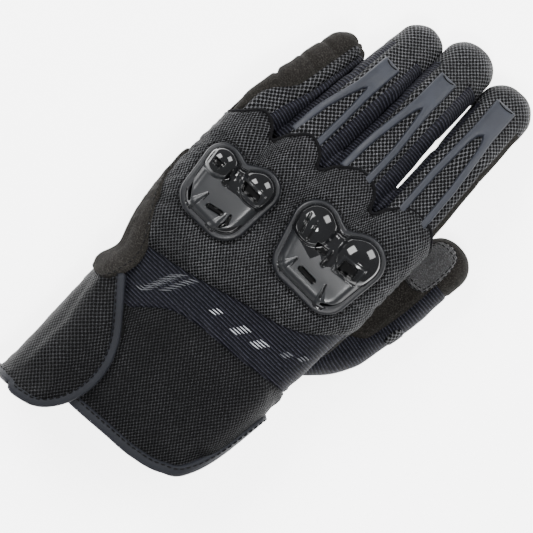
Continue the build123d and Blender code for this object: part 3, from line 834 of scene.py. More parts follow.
class Tube:
    """A sleeve along a bending centre line, with zones of fabric round it."""

    def __init__(self, pivot, base, tip, half, rise, corner, root, extra=0.0, widen=None, turn_in=0.0):
        self.length = base[0] + tip[0]
        self.joint = base[0]
        t = np.arange(-root, self.length + 0.26, 0.25)
        k = ramp(t, base[0] - 9, base[0] + 9)
        start = ramp(t, -14, 4)
        lean = np.radians(base[1] + turn_in * (1 - ramp(t, -26, 0)) + (tip[1] - base[1]) * k)
        dip = np.radians(base[2] * start - 7 * (1 - start) + (tip[2] - base[2]) * k)
        self.t = t
        self.dirs = np.stack([np.sin(lean) * np.cos(dip), np.cos(lean) * np.cos(dip), -np.sin(dip)], -1)
        self.pos = np.cumsum(self.dirs * 0.25, axis=0)
        self.pos += np.array(pivot, float) - lerp(0, t, self.pos)
        self.half, self.rise, self.corner = half, rise, corner
        self.widen = widen or (lambda t: 0 * t)
        self.cap = min(half, 12.5) * 1.02 + extra

    def frame(self, t):
        """Centre, direction, sideways and up at t mm along the sleeve."""
        c, d = lerp(t, self.t, self.pos), unit(lerp(t, self.t, self.dirs))
        up = unit(UP - np.sum(d * UP, -1, keepdims=True) * d)
        return c, d, np.cross(d, up), up

    def point(self, f, t):
        """Point at f (-1 to 1, a share of half the girth from the top) and t mm along."""
        end = np.clip((t - (self.length - self.cap)) / self.cap, 0, 0.9999)
        k = (1 - end**2.15) ** (1 / 2.15)
        a, h = self.half + self.widen(t), self.rise + 0 * t
        a, h, cr = a * k, h * k, np.minimum(self.corner + 0 * t, np.minimum(a, h) * 0.98)
        least = np.minimum(a, h)
        cr = np.where(end > 0, np.minimum(self.corner * k + 0.6 * end * least, least * 0.98), cr)
        s = f * girth(a, h, cr) / 2
        x, z = rounded(s, a, h, cr)
        c, d, side, up = self.frame(t)
        return c + side * x[..., None] + up * z[..., None]

    def rows(self, split):
        """Rows along the sleeve, close together over the rounded end."""
        start = self.t[0]
        low = np.linspace(start, split, int((split - start) / 1.0) + 1)
        high = np.linspace(split, self.length - self.cap, int((self.length - self.cap - split) / 1.0) + 1)[1:]
        k = np.linspace(0, math.pi / 2, 24)[1:]
        end = self.length - self.cap + self.cap * np.sin(k) * 0.9999
        return np.concatenate([low, high, end]), len(low) - 1

    def build(self, edges, counts, split, shape):
        """Grid of points, normals and uv; edges give f from -1 to 1 at t, and shape gives the fabric's lift."""
        t, cut_row = self.rows(split)
        fs = []
        for k, n in enumerate(counts):
            lo, hi = edges[k](t), edges[k + 1](t)
            w = np.linspace(0, 1, n + 1)
            w = w[:-1] if k < len(counts) - 1 else w
            fs.append(lo[:, None] + (hi - lo)[:, None] * w)
        f = np.concatenate(fs, 1)
        tt = np.broadcast_to(t[:, None], f.shape)
        p = self.point(f, tt)
        n = facing(normals_of(p), p - self.frame(tt)[0] + 1e-6)
        n[-1] = self.frame(t[-1:])[1]
        half_girth = girth(self.half, self.rise, min(self.corner, self.rise * 0.98)) / 2
        p = p + n * (shape(f * half_girth, tt) * np.clip((self.length - tt) / 3.0, 0, 1))[..., None]
        n = np.concatenate([facing(normals_of(p), n)[:-1], n[-1:]])
        n[:, 0] = n[:, -1] = unit(n[:, 0] + n[:, -1])
        p[:, -1] = p[:, 0]
        return p, n, np.stack([f * half_girth, tt], -1), cut_row, t


def level(v):
    """A fabric edge that keeps its place along the sleeve."""
    return lambda t: v + 0 * t


def bump_line(s, at, width):
    """A soft ridge, 1 high, along the line s = at."""
    return np.exp(-(((s - at) / width) ** 2))


FINGERS = {
    "index": dict(pivot=(27.2, 46, 34), base=(36.5, -2.2, 6), tip=(48, -2.2, 27.0), half=12.7, rise=10.9,
                  mesh=(-12.2, 11.5), wrap=64, widen=lambda t: 0.7 * (1 - ramp(t, 2, 30))),
    "middle": dict(pivot=(-1.5, 47, 34), base=(36.5, 0, 6), tip=(49.2, 0, 26.0), half=12.5, rise=10.9,
                   mesh=(-10.5, 6.2), wrap=62,
                   widen=lambda t: 1.0 * (1 - ramp(t, 2, 34)) + 0.7 * (1 - ramp(t, 40, 72))),
    "ring": dict(pivot=(-29.0, 43, 33.5), base=(34, 4.8, 6), tip=(46.8, 4.8, 28.0), half=10.9, rise=10.4,
                 mesh=(-8.6, 4.6), wrap=58,
                 widen=lambda t: 0.9 * (1 - ramp(t, 2, 34)) + 1.35 * (1 - ramp(t, 42, 72))),
    "pinky": dict(pivot=(-54.2, 34.5, 33), base=(26.5, 9, 10), tip=(34.8, 9, 29), half=9.7, rise=9.4,
                  mesh=(2.0, 6.5), wrap=200,
                  widen=lambda t: 0.9 * (1 - ramp(t, 20, 50)) - 3.8 * (1 - ramp(t, -14, 5))),
}
TUBES = {}
JOINT_BEND = {}
for name, g in FINGERS.items():
    corner = 7.4 if name != "pinky" else 6.6
    tube = Tube(g["pivot"], g["base"], g["tip"], g["half"], g["rise"], corner, 22, 0, g["widen"])
    TUBES[name] = tube
    hg = girth(g["half"], g["rise"], tube.corner) / 2
    a, b = g["mesh"]
    palm = (g["half"] + 1.05 * g["rise"]) / hg
    pinky = name == "pinky"  # it has quilted suede in place of ribs and a slider
    left, right = level(a / hg), level(b / hg)
    if pinky:
        left = lambda t: (-7.5 + 8.0 * ramp(t, 6, 24)) / hg
        right = lambda t: (3.0 + 3.2 * ramp(t, 4, 30)) / hg
    edges = [level(-1.0), level(-palm), left, right, level(palm), level(1.0)]
    counts = [14, 12, 24, 14, 14]
    pads = [17.0, 30.5, 43.0] if pinky else []

    def shape(s, t):
        live = 1 - ramp(t, g["wrap"] - 1, g["wrap"] + 1)
        out = 0.35 + 0 * s
        for edge in (left(t) * hg, right(t) * hg):
            out = out - 1.0 * bump_line(s, edge, 0.85) * live
            out = out + 0.45 * bump_line(s, edge + 2.2, 1.5) * live
        for edge in (-palm * hg, palm * hg):
            out = out - 0.8 * bump_line(s, edge, 0.8)
        if pads:
            quilt = -1.5 * sum(bump_line(t + 0.12 * s, at, 1.1) for at in pads)
            out = out + np.where(s < left(t) * hg, quilt + 0.7 * (1 - bump_line(s, left(t) * hg, 3.0)), 0)
        else:
            between = ((s > right(t) * hg) | (s < left(t) * hg)) & (np.abs(s) < palm * hg)
            out = out - np.where(between, 0.5 * live, 0)
        out = out - 0.5 * bump_line(t, tube.joint, 3.0) * (np.abs(s) > 6)
        out = out + 0.30 * noise(np.stack([s, t, 0 * s], -1), 9, len(name))
        return out

    split = tube.joint * 0.52
    P, N, W, row, t = tube.build(edges, counts, split, shape)
    cols = np.repeat(np.arange(5), counts)
    colz = np.broadcast_to(cols[None], (len(t) - 1, len(cols)))
    tz = np.broadcast_to(((t[1:] + t[:-1]) / 2)[:, None], colz.shape)
    wrapped = tz > g["wrap"]
    mesh_mask = (colz == 2) | (wrapped & (colz > 0) & (colz < 4))
    suede_mask = (colz == 0) | (colz == 4)
    if name == "index":
        suede_mask = suede_mask | ((colz == 3) & ~wrapped)
    if pinky:
        suede_mask = suede_mask | (colz == 1)
        mesh_mask = mesh_mask & (tz < tube.length - 6)
        suede_mask = suede_mask | (tz >= tube.length - 6)
    rib_mask = ~(mesh_mask | suede_mask)
    rows_a = np.arange(len(t) - 1)[:, None] < row
    root_bend, JOINT_BEND[name] = bend_span(tube, 0.0, 10, 11), bend_span(tube, tube.joint, 10, 10)
    for label, mask, mat, slot, node in (
        ("mesh", mesh_mask, MESH, "mesh_fabric", "back"),
        ("rib", rib_mask, RIB, "rib_knit", "sides"),
        ("suede", suede_mask, SUEDE, "suede", "palm"),
    ):
        for part, rows_on, bodies, ends in (
            ("base", rows_a, ("hand", f"{name}_base"), root_bend),
            ("tip", ~rows_a, (f"{name}_base", f"{name}_tip"), JOINT_BEND[name]),
        ):
            m = mask & rows_on
            if not m.any():
                continue
            ob = cut(f"{name}_{label}_{part}", P, N, W, m, mat, [f"{name}_{node}_{part}"])
            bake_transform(ob)


# ------------------------------------------------------------------ sliders
def slider(name, left, right, wall, apex, ends, top, mid_shift=0.0):
    """A blade with two legs round a window, on a finger; sideways numbers are mm from the finger's top line."""
    tube = TUBES[name]
    hg = girth(tube.half, tube.rise, tube.corner) / 2
    lo = min(ends)
    t = np.concatenate([np.linspace(lo, apex, 60), np.linspace(apex, top, 34)[1:]])
    k = (t - lo) / (top - lo)
    outer_l, outer_r = (np.interp(k, [0, 0.35, 0.7], side) for side in (left, right))
    mid = (outer_l + outer_r) / 2 + mid_shift
    arch = np.clip((t - (apex - 9)) / 9, 0, 1)
    win = np.where(t < apex, np.sqrt(1 - arch**2), 0)
    parts_v, parts_f, parts_uv = [], [], []
    for sign, outer, begin in ((-1, outer_l, ends[0]), (1, outer_r, ends[1])):
        legs = np.abs(outer - mid) - wall * np.interp(k, [0, 0.5, 1], [0.78, 0.86, 1.05])
        inner = mid + sign * np.maximum(legs, 0) * win
        tt = np.maximum(t, begin)
        n = 15
        w = (1 - np.cos(np.linspace(0, math.pi, n))) / 2
        s = inner[:, None] + (outer - inner)[:, None] * w
        t2 = np.broadcast_to(tt[:, None], s.shape)
        p = tube.point(s / hg, t2)
        nn = normals_of(tube.point((s + 1e-3) / hg, t2 + 1e-3 * np.arange(len(t))[:, None]))
        nn = facing(nn, p - tube.frame(t2)[0])
        d_out = np.abs(s - outer[:, None])
        d_in = np.where(win[:, None] > 0, np.abs(s - inner[:, None]), 9)
        d_in = np.where(t2 >= apex, np.hypot(s - mid[:, None], t2 - apex), d_in)
        d_end = np.minimum(top - t2, (t2 - begin) + 0.05)
        e = np.minimum(np.minimum(d_out, d_in), np.maximum(d_end, 0))
        lift = 1.55 * round_over(e, 0.9)
        lift = lift + 0.45 * ramp(t2, apex - 22, apex) * np.clip(e / 2.5, 0, 1)
        lift = lift * (0.35 + 0.65 * ramp(t2, begin + 2, begin + 11))
        outp, inp = p + nn * (0.25 + lift)[..., None], p - nn * 0.5
        base = sum(len(v) for v in parts_v)
        under, line, cross = len(t) * n, base + np.arange(len(t)) * n, np.arange(n)
        last = line[-1] + cross
        faces = np.concatenate([
            grid_faces(len(t), n, start=base), grid_faces(len(t), n, start=base + under)[:, ::-1],
            strip(line + n - 1, line + n - 1 + under), strip(line[:60] + under, line[:60]),
            strip(base + cross, base + cross + under), strip(last + under, last),
        ])
        if sign < 0:
            faces = faces[:, ::-1]
        parts_v += [outp.reshape(-1, 3), inp.reshape(-1, 3)]
        parts_f.append(faces)
        parts_uv += [np.stack([s, t2], -1).reshape(-1, 2)] * 2
    ob = add_mesh(f"{name}_slider", np.concatenate(parts_v), np.concatenate(parts_f), SLIDER,
                  np.concatenate(parts_uv))
    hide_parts(f"{name}_slider_legs", f"{name}_slider_blade")
    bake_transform(ob)
    s = np.linspace(outer_l[-1] + 1.5, outer_r[-1] - 1.5, 24)
    arc_t = top - 1.5 - 0.9 * (1 - ((s - s.mean()) / (s.max() - s.mean())) ** 2)
    path = tube.point(s / hg, arc_t) + tube.frame(arc_t)[3] * 2.25
    seam = rope(f"{name}_slider_tack", path, tube.frame(arc_t)[3], 0.35, 0.3, THREAD, 8)
    settle(seam, "slider", f"{name}_tip")


slider("index", (-7.2, -7.6, -6.4), (7.2, 6.8, 4.6), 3.9, 48, (1, 0), 68.5, 0.5)
slider("middle", (-10.4, -9.4, -6.8), (4.2, 4.2, 2.2), 3.9, 37, (-3, -4), 56.5, 0.4)
slider("ring", (-9.6, -8.8, -6.0), (4.2, 3.6, 2.6), 3.7, 31.5, (-3, -4), 47.0, 0.4)


# ------------------------------------------------------------------ thumb
THUMB_HALF = curve([-30, -27, -17, -8, 0, 7, 70], [-7.8, -7.6, -5.8, -3.0, -0.6, 0, 0])
thumb = Tube((45, -13, 10.4), (33.6, 11.1, 0), (37.0, 3.9, 0), 12.6, 10.0, 8.2, 27, -0.6, THUMB_HALF, 30)
thumb_hg = girth(12.6, 10.0, 8.2) / 2
thumb_edges = [
    level(-1.0), level(-0.62), lambda t: (4.6 - 20.0 * (1 - ramp(t, -8, 13))) / thumb_hg, level(0.66), level(1.0),
]


def thumb_shape(s, t):
    live = 1 - ramp(t, 49, 52)
    edge = thumb_edges[2](t) * thumb_hg
    out = -1.0 * bump_line(s, edge, 0.9) * live + 0.7 * bump_line(s, edge - 2.6, 1.8) * live
    out = out - 0.8 * bump_line(s, 0.66 * thumb_hg, 0.8) - 0.7 * bump_line(t, 50.5, 0.9) * (s > edge)
    out = out + 0.55 * noise(np.stack([s, t, 0 * s], -1), 11, 4) + 0.25 * noise(np.stack([s, t, 0 * s], -1), 5, 5)
    return out - 0.9 * bump_line(t, 33.6, 3.0) * bump_line(s, -8, 12)


P, N, W, row, t = thumb.build(thumb_edges, [20, 44, 30, 20], 17, thumb_shape)
cols = np.broadcast_to(np.repeat(np.arange(4), [20, 44, 30, 20])[None], (len(t) - 1, 114))
tz = np.broadcast_to(((t[1:] + t[:-1]) / 2)[:, None], cols.shape)
rib_mask = (cols == 2) & (tz < 50.5)
rows_a = np.arange(len(t) - 1)[:, None] < row
THUMB_ROOT, THUMB_JOINT = bend_span(thumb, 0.0, 12, 13), bend_span(thumb, 33.6, 9, 10)
for label, mask, mat, slot, base_nodes, tip_nodes in (
    ("suede", ~rib_mask, SUEDE, "suede", ["thumb_palm_base", "thumb_back_base", "thumb_gusset"],
     ["thumb_palm_tip", "thumb_back_tip"]),
    ("rib", rib_mask, RIB, "rib_knit", ["thumb_sides_base"], ["thumb_sides_tip"]),
):
    ob = cut(f"thumb_{label}_base", P, N, W, mask & rows_a, mat, base_nodes)
    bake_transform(ob)
    ob = cut(f"thumb_{label}_tip", P, N, W, mask & ~rows_a, mat, tip_nodes)
    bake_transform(ob)


def squircle(nu, nv, k=0.72):
    """Grid over a rounded square, -1 to 1."""
    u, v = np.meshgrid(np.sin(np.linspace(-1, 1, nu) * math.pi / 2), np.sin(np.linspace(-1, 1, nv) * math.pi / 2))
    return u * np.sqrt(1 - k * v * v / 2), v * np.sqrt(1 - k * u * u / 2)


def on_tube(tube, hg, s, t, lift):
    """Points lift mm off a sleeve at s round and t along, with the normals there."""
    p = tube.point(s / hg, t)
    e = 0.05
    du = tube.point((s + e) / hg, t) - p
    dv = tube.point(s / hg, t + e) - p
    n = unit(np.cross(du, dv))
    return p + n * lift, n


def pad_place(u, v):
    """Sideways and lengthways place on the thumb of a point of its leather pad, u and v from -1 to 1."""
    return -3.6 + 8.2 * u, 54.0 + 13.2 * v


ps, pt = pad_place(*squircle(34, 48))
p, n = on_tube(thumb, thumb_hg, ps, pt, 0.35)
patch = thick("thumb_leather_pad", p, 1.25, 0.9, LEATHER, np.stack([ps, pt], -1), 1.6, n)
settle(patch, "grained_leather", "thumb_tip", "thumb_leather_patch")
ang = np.linspace(0, 2 * math.pi, 160)
for label, shrink in (("outer", 0.94), ("inner", 0.80)):
    cu, cv = np.cos(ang), np.sin(ang)
    m = np.maximum(np.abs(cu), np.abs(cv))
    cu, cv = cu / m * shrink, cv / m * shrink
    su, sv = cu * np.sqrt(1 - 0.72 * cv**2 / 2), cv * np.sqrt(1 - 0.72 * cu**2 / 2)
    sp, sn = on_tube(thumb, thumb_hg, *pad_place(su, sv), 1.55)
    row_st = stitches(f"thumb_pad_stitch_{label}", sp, sn, THREAD, 1.7, 0.8, 0.26)
    settle(row_st, "grained_leather", "thumb_tip")
u, v = squircle(18, 22, 0.9)
ps, pt = 12.0 + 3.2 * u, 21.5 + 5.0 * v
p, n = on_tube(thumb, thumb_hg, ps, pt, 0.2)
small = thick("thumb_mesh_inset", p, 0.8, 0.6, MESH, np.stack([ps, pt], -1), 1.0, n)
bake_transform(small)


# ------------------------------------------------------------------ guards
def guard_material():
    """Smoked plastic with painted light: painted grey where the attribute tone is 1, as a painted reflection of a
    softbox, and painted near-black shade where hole is 1.
    """
    g = Graph("smoked_shell_painted_reflection")
    tone = g.node("Attribute", attribute_name="tone").outputs["Fac"]
    hole = g.node("Attribute", attribute_name="hole").outputs["Fac"]
    haze = g.noise(90, 4, 0.6)
    fine = g.noise(2800, 2, 0.6)
    black = g.mix(g.step(haze, 0.3, 0.8), (0.0042, 0.0044, 0.005), (0.0075, 0.0078, 0.0088))
    # painted reflection: the grey that the tone attribute paints over the field
    grey = g.mix(g.step(haze, 0.25, 0.8), (0.009, 0.0098, 0.0112), (0.0135, 0.0145, 0.0165))
    # painted shade: near-black for the sunk windows, vents and grooves
    color = g.mix(hole, g.mix(tone, black, grey), (0.0008, 0.0008, 0.001))
    rough = g.mul(g.step(tone, 0.0, 1.0, 0.07, 0.3), g.sub(1.0, g.mul(hole, 0.75)))
    normal = g.bump(fine, 0.04, 0.0001)
    return g.finish(color, rough, normal, Specular_IOR_Level=0.42)


GUARD = guard_material()


def from_centre(g, a, r):
    """Plan x and y of the point r mm from a guard's centre in direction a."""
    return g["centre"][0] + np.cos(a) * r, g["centre"][1] + np.sin(a) * r


def polar(g):
    """Directions round a guard's centre, and how far its outline is in each."""
    a = np.linspace(0, 2 * math.pi, TURNS, endpoint=False)
    r, reach = np.linspace(0, 34, 681), []
    for d in guard_edge(g, *from_centre(g, a[:, None], r)):
        k = np.argmax(d > 0)
        reach.append(np.interp(0, d[k - 2:k + 2], r[k - 2:k + 2]))
    return a, np.array(reach)


SEAT = 46.9  # height of the surface that the guards sit on
FLANGE_SHOWS = 1.9  # width of flange left bare round the shell
TURNS = 420
STITCH_RINGS = {}
for name, g in GUARDS.items():
    a, reach = polar(g)
    # flange: a low moulded rim with rounded edges
    widths = np.array([0, 0.05, 0.2, 0.5, 0.9, 1.4, 2.0, 2.8, 3.6, 4.2])
    x, y = from_centre(g, a, reach - widths[:, None])
    rise = 1.55 * round_over(widths, 1.3) + 0.12 * bump_line(widths, 2.3, 0.5)
    z = SEAT + rise[:, None] + 0 * x
    out = np.stack([x, y, z], -1)
    foot = np.stack([x[:1], y[:1], np.full_like(x[:1], SEAT - 2.2)], -1)
    under = np.stack([x[-1:], y[-1:], np.full_like(x[:1], SEAT - 2.2)], -1)
    grid = np.concatenate([foot, out, under, foot])
    flange = add_mesh(f"{name}_guard_rim", grid.reshape(-1, 3), grid_faces(len(grid), TURNS, wrap=True), FLANGE)
    settle(flange, "guard_flange", "hand", f"{name}_guard_flange", f"{name}_guard_foam")
    STITCH_RINGS[name] = np.stack(from_centre(g, a, reach + 1.1), -1)
    # shell: plateau, two domes, windows, vents and ridges
    shares = np.concatenate([np.linspace(0.004, 0.80, 96), np.linspace(0.80, 1, 46)[1:]])
    x, y = from_centre(g, a, (reach - FLANGE_SHOWS) * shares[:, None])
    e = np.maximum(-guard_edge(g, x, y) - FLANGE_SHOWS, 0)
    z = 1.0 + 3.9 * (1 - np.exp(-((e / 2.2) ** 1.8)))
    z = z * (0.86 + 0.14 * ramp(y, g["feet"][0][1], g["domes"][0][1]))
    for cx, cy, r in g["domes"]:
        rr = r - 0.5
        rho = np.hypot(x - cx, y - cy)
        dome = 1.2 + 8.2 * np.sqrt(np.clip(1 - (rho / rr) ** 2, 0, 1)) * round_over(e, 1.6)
        z = -smooth_min(-z, -dome, 0.9)
    # painted reflection: tone paints a softbox's reflection grey over the field, a fainter band of it on the frame
    # rims, none inside the frames, and less along the fang outlines
    tone = on(poly_sdf(x, y, g["field"]), 0.3) * on(1.0 - e, 0.8)
    # painted shade: hole paints near-black into the sunk windows, vents and bar grooves, and paints thin dark lines
    # beside the fangs
    hole = 0 * x
    for f in g["frames"]:
        d = poly_sdf(x, y, f)
        tone = np.maximum(tone * (1 - on(d, 0.3)), 0.55 * on(np.abs(d + 0.5) - 0.5, 0.3))
        z = z - 0.35 * on(d, 0.5)
    for w in g["windows"]:
        d = poly_sdf(x, y, w)
        z = z - 2.4 * on(d, 0.5)
        hole = np.maximum(hole, on(d + 0.1, 0.3))
    for b in g["bars"]:
        d = path_cone(x, y, b)
        z = z - 0.7 * on(d, 0.9)
        hole = np.maximum(hole, 0.85 * on(d, 0.35))
    for h in g["holes"]:
        d = path_cone(x, y, h)
        z = z - 2.6 * on(d, 0.6)
        hole = np.maximum(hole, on(d, 0.3))
    for f in g["fangs"]:
        d = path_cone(x, y, f)
        z = z + 0.85 * on(d + 0.5, 1.6)
        tone = np.maximum(tone * (1 - 0.45 * on(np.abs(d) - 0.1, 0.4)), 0)
    for f in g["lines"]:
        hole = np.maximum(hole, 0.9 * on(path_cone(x, y, f), 0.3))
    pts = np.stack([x, y, SEAT + z], -1)
    foot = pts[-1:].copy()
    foot[..., 2] = SEAT - 1.5
    grid = np.concatenate([pts, foot])
    faces = grid_faces(len(grid), TURNS, wrap=True)[:, ::-1].tolist() + [list(range(TURNS))]
    shell = add_mesh(f"{name}_guard_dome_shell", grid.reshape(-1, 3), faces, GUARD)
    for key, value in (("tone", tone), ("hole", hole)):
        attr = shell.data.attributes.new(key, "FLOAT", "POINT")
        attr.data.foreach_set("value", np.concatenate([value, value[-1:]]).ravel().astype(np.float32))
    settle(shell, "smoked_shell", "hand", f"{name}_guard_shell")

back_pts = SKIN[len(SKIN) - ROWS[2]:].reshape(-1, 3)
back_pts = back_pts[back_pts[:, 2] > 40]


def skin_z(xy):
    """Height of the back of the hand at plan points."""
    return np.array([back_pts[np.argmin(np.sum((back_pts[:, :2] - p) ** 2, 1)), 2] for p in xy])


for name, ring in STITCH_RINGS.items():
    path = resample(np.column_stack([ring, skin_z(ring)]), 0.5)
    st = stitches(f"{name}_guard_stitch", path, np.tile(UP, (len(path), 1)), THREAD, 1.9, 0.9, 0.3)
    settle(st, "guard_flange", "hand")


# ------------------------------------------------------------------ scalloped roll over the knuckles
edge_cols = np.abs(Q) < 2.2
path = resample(SKIN[-1][edge_cols] + SKIN_N[-1][edge_cols] * 0.2 + [0, 0.3, 0], 0.8)
nrm = lerp(np.linspace(0, 1, len(path)), np.linspace(0, 1, edge_cols.sum()), SKIN_N[-1][edge_cols])
roll = rope("knuckle_roll", path, nrm, 0.7, 0.75, LINING, 12)
settle(roll, "mesh_fabric", "hand")
st = stitches("knuckle_stitch", path + [0, -1.9, 0] + nrm * 0.75, nrm, THREAD, 1.7, 0.9, 0.26)
settle(st, "mesh_fabric", "hand")


# ------------------------------------------------------------------ suede along the little-finger side
inner_x = curve([-66.5, -65.2, -62, -56, -48, -41, -32, -21, -12, 4],
                [-53, -50.2, -47.8, -46.2, -46.6, -48.6, -54, -60.6, -64.0, -65.2])
outer_s = curve([-66.5, -65.2, -62, -57, -50, 4], [47.5, 54, 60, 68, 74, 76])
vy = np.concatenate([-66.5 + 6 * (1 - np.cos(np.linspace(0, math.pi / 2, 12))), np.linspace(-60.5, 3.5, 74)[1:]])
s_grid, y_grid, p, n = body_patch(s_of_x(inner_x(vy), vy), -outer_s(vy), vy, 44)
lift = 0.5 + 4.6 * (1 - ramp(y_grid, -60, -47)) + 0.25 * noise(p, 13, 7) + 0.15 * noise(p, 5, 8)
lift = lift + inflate(p, n, border(p.shape[:2], 2), 1.5, -0.4, 1.0)
p = p + n * lift[..., None]
ulnar = thick("ulnar_suede", p[::-1], 1.0, 1.2, SUEDE, np.stack([s_grid, y_grid], -1)[::-1], 1.3, n[::-1])
over_wrist(ulnar)
SEAM_COL = 3  # the grid column that the stitches follow
st_path = resample(p[:, SEAM_COL] + n[:, SEAM_COL], 0.7)
st_n = lerp(np.linspace(0, 1, len(st_path)), np.linspace(0, 1, len(p)), n[:, SEAM_COL])
st = stitches("ulnar_stitch", st_path, st_n, THREAD, 1.9, 0.9, 0.26)
over_wrist(st)


# ------------------------------------------------------------------ closure flap
FLAP_ROOT = -66.0  # arc length of the flap's sewn edge, from the middle of the back
FLAP_LIFT = 3.75
plan = spline([(-47, -57), (-45.6, -59.5), (-39, -69), (-30.5, -80), (-25.8, -90), (-24.2, -99), (-25.0, -108),
               (-28.4, -117), (-34.5, -124.4), (-43, -128.3), (-52, -129.2)], 400)
vy = np.concatenate([np.linspace(-57.5, -120, 80), -120 - 9.0 * np.sin(np.linspace(0, math.pi / 2, 22))[1:]])
x_edge = np.interp(-vy, -plan[:, 1], plan[:, 0])
s_edge = s_of_x(x_edge, vy)
s_grid, y_grid, p0, n = body_patch(np.full_like(vy, FLAP_ROOT), s_edge, vy, 76)
fold = noise(np.stack([s_grid + 0.12 * y_grid, y_grid * 0.22, 0 * s_grid], -1), 6.5, 11)
fold = fold * ramp(s_grid, FLAP_ROOT, -50) * 0.85 * ramp(-y_grid, 60, 76) + 0.3 * noise(p0, 7, 12)
edge_d = s_edge[:, None] - s_grid
fold = 0.7 * fold + inflate(p0, n, border(p0.shape[:2], 2), 1.0, -0.7, 1.2, 0.06)
fold = fold * np.clip(edge_d / 6, 0, 1) * np.clip((y_grid + 128.5) / 7, 0, 1)
p = p0 + n * (FLAP_LIFT + fold)[..., None]
for _ in range(6):
    p[:, 1:-1] = (p[:, :-2] + 2 * p[:, 1:-1] + p[:, 2:]) / 4
    n[:, 1:-1] = unit(n[:, :-2] + 2 * n[:, 1:-1] + n[:, 2:])
flap = thick("closure_flap_mesh", p, 0.9, 0.9, MESH_CUFF, np.stack([s_grid, y_grid], -1), 1.0, n)
settle(flap, "mesh_fabric", "cuff_flap", "flap_panel")
rim_path = np.concatenate([p[:, -1], p[-1, ::-1][1:]])
rim_n = np.concatenate([n[:, -1], n[-1, ::-1][1:]])


def along(points, values, step):
    """Evenly spaced points on a path, with the normals there; doubled points are skipped."""
    run = run_of(points)
    keep = np.concatenate([[True], np.diff(run) > 1e-6])
    s = np.linspace(0, run[-1], int(run[-1] / step) + 1)
    return lerp(s, run[keep], points[keep]), unit(lerp(s, run[keep], values[keep]))


def inward(path, nrm, toward):
    """Directions across an edge, in the surface, to the side that toward points to."""
    return facing(np.cross(unit(np.gradient(path, axis=0)), nrm), toward)


path, pn = along(rim_path, rim_n, 0.9)
inw = inward(path, pn, p.reshape(-1, 3).mean(0) - path)
flap_tape = rope("closure_flap_piping", path + inw * 0.35, pn, 2.25, 1.8, TAPE, 18, 2.8)
settle(flap_tape, "binding", "cuff_flap", "flap_binding")
st = stitches("closure_flap_stitch", path + inw * 1.75 + pn * 1.62, pn, THREAD, 2.1, 0.9, 0.34)
settle(st, "binding", "cuff_flap")
for node in ("flap_hook_patch", "cuff_loop_patch"):
    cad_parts[node].data.materials.clear()
    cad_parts[node].data.materials.append(HOOK)


# ------------------------------------------------------------------ cuff edge binding
for label, pick in (("back", np.abs(Q) <= 2.45), ("palm", np.abs(Q) >= 2.45)):
    idx = np.where(pick)[0]
    if label == "palm":
        idx = np.concatenate([idx[Q[idx] > 0], idx[Q[idx] < 0]])
    path, pn = along(SKIN[0][idx], SKIN_N[0][idx], 0.9)
    inw = inward(path, pn, [0, 1, 0])
    tape = rope(f"cuff_binding_{label}", path + inw * 1.5 + pn * 0.05, pn, 2.6, 1.6, TAPE, 18, 3.0)
    settle(tape, "binding", "cuff", "cuff_edge_binding")
    st = stitches(f"cuff_stitch_{label}", path + inw * 3.0 + pn * 1.6, pn, THREAD, 2.1, 0.9, 0.34)
    settle(st, "binding", "cuff")


# ------------------------------------------------------------------ reflective dashes on the rib band
BAND, BAND_N, RISE = (v[ROWS[0]:HAND_ROW + 1] for v in (SKIN, SKIN_N, Y - KEYS[1]))


def band_point(x, d):
    """Point of the rib band at x on the back, d mm ahead of its rear edge."""
    out, nn = [], []
    for xi, di in zip(np.ravel(x), np.ravel(d)):
        col = np.argmin(np.abs(BAND[len(BAND) // 2, :, 0] - xi) + 100 * (np.abs(Q) > 1.9))
        out.append(lerp(di, RISE[:, col], BAND[:, col]))
        nn.append(lerp(di, RISE[:, col], BAND_N[:, col]))
        out[-1][0] = xi
    return np.array(out), np.array(nn)


def dashes(name, groups, mat):
    """Printed dashes on the ribs; a group is x, mm ahead of the band's rear edge, count, length and slant."""
    verts, faces = [], []
    for cx, cd, count, length, slant in groups:
        for k in range(count):
            step = (k - (count - 1) / 2) * 1.25
            d, mid_x = cd + step, cx + slant * step
            xs = np.linspace(mid_x - length / 2, mid_x + length / 2, 9)
            half = 0.24 * np.sin(np.linspace(0.25, math.pi - 0.25, 9))
            a, na = band_point(xs, d - half)
            b, nb = band_point(xs, d + half)
            base = sum(len(v) for v in verts)
            verts += [a + na * 0.3, b + nb * 0.3, a - na * 0.3, b - nb * 0.3]
            low, high = base + np.arange(9), base + 9 + np.arange(9)
            faces += [strip(high, low), strip(low + 18, high + 18), strip(low, low + 18), strip(high + 18, high)]
    ob = add_mesh(name, np.concatenate(verts), np.concatenate(faces), mat)
    over_wrist(ob)


dashes("wrist_reflective_dashes", ((-6.5, 9.6, 3, 4.0, 0.7), (7.0, 10.2, 5, 4.6, 0.7), (17.5, 11.0, 4, 5.2, 0.7)),
       PRINT)
dashes("wrist_dim_dashes", ((-33.5, 13.5, 8, 6.5, 0.8), (-26.5, 12.5, 7, 4.5, 0.8), (29.5, 14.5, 3, 3.6, 0.6),
                             (36.0, 17.5, 3, 2.8, 0.6)), PRINT_DIM)


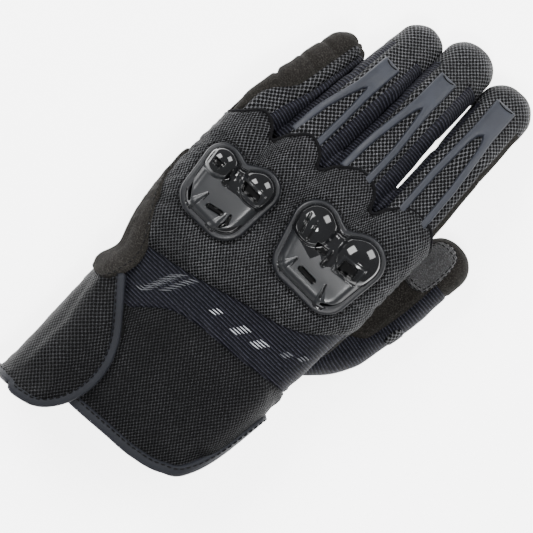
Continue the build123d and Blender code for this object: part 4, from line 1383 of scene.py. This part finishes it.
# ------------------------------------------------------------------ palm side
u, v = squircle(60, 24, 0.6)
px, py = -19 + 30.5 * u, -22.5 + 8.0 * v
p = np.stack([px, py, BOTTOM(py) + 0.1 + 0 * px], -1)
n = 0 * p - UP
p = p + n * inflate(p, n, border(p.shape[:2]), 1.0, -0.2, 0.45)[..., None]
pad = thick("palm_heel_pad", p[:, ::-1], 1.15, 0.6, LEATHER, np.stack([px, py], -1)[:, ::-1], 1.4, n)
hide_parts("palm_heel_patch")
over_wrist(pad)


# ------------------------------------------------------------------ camera, lights and floor
def studio():
    """Camera over the back of the glove, three soft lights, a grey world and a white floor."""
    cam = bpy.data.cameras.new("camera")
    cam.lens, cam.sensor_width = 150, 36
    ob = bpy.data.objects.new("camera", cam)
    right, up = Vector((0.719, 0.695, 0)).normalized(), Vector((-0.695, 0.719, 0)).normalized()
    rot = Matrix((right, up, right.cross(up))).transposed().to_4x4()
    ob.matrix_world = Matrix.Translation((-0.00437, -0.01118, 1.03)) @ rot
    bpy.context.scene.collection.objects.link(ob)
    bpy.context.scene.camera = ob
    for name, where, size, power in (
        ("key", (0.25, -0.25, 1.1), 0.24, 10.0),
        ("left_box", (-0.7, 0.2, 0.85), 0.5, 16.0),
        ("top_box", (0.3, 0.8, 0.8), 0.5, 12.0),
    ):
        light = bpy.data.lights.new(name, "AREA")
        light.energy, light.size = power, size
        lo = bpy.data.objects.new(name, light)
        lo.location = where
        lo.rotation_euler = (Vector((0, 0, 0.03)) - Vector(where)).to_track_quat("-Z", "Y").to_euler()
        bpy.context.scene.collection.objects.link(lo)
    world = bpy.data.worlds.new("studio")
    world.use_nodes = True
    world.node_tree.nodes["Background"].inputs[0].default_value = (1, 1, 1, 1)
    world.node_tree.nodes["Background"].inputs[1].default_value = 0.4
    bpy.context.scene.world = world
    g = Graph("floor")
    g.finish((0.95, 0.95, 0.95), 0.9, Emission_Color=(1, 1, 1, 1), Emission_Strength=4.2)
    floor = add_mesh("floor", [[-30000, -30000, 0], [30000, -30000, 0], [30000, 30000, 0], [-30000, 30000, 0]],
                     [[0, 1, 2, 3]], g.mat)
    floor.location.z = -0.0004


studio()
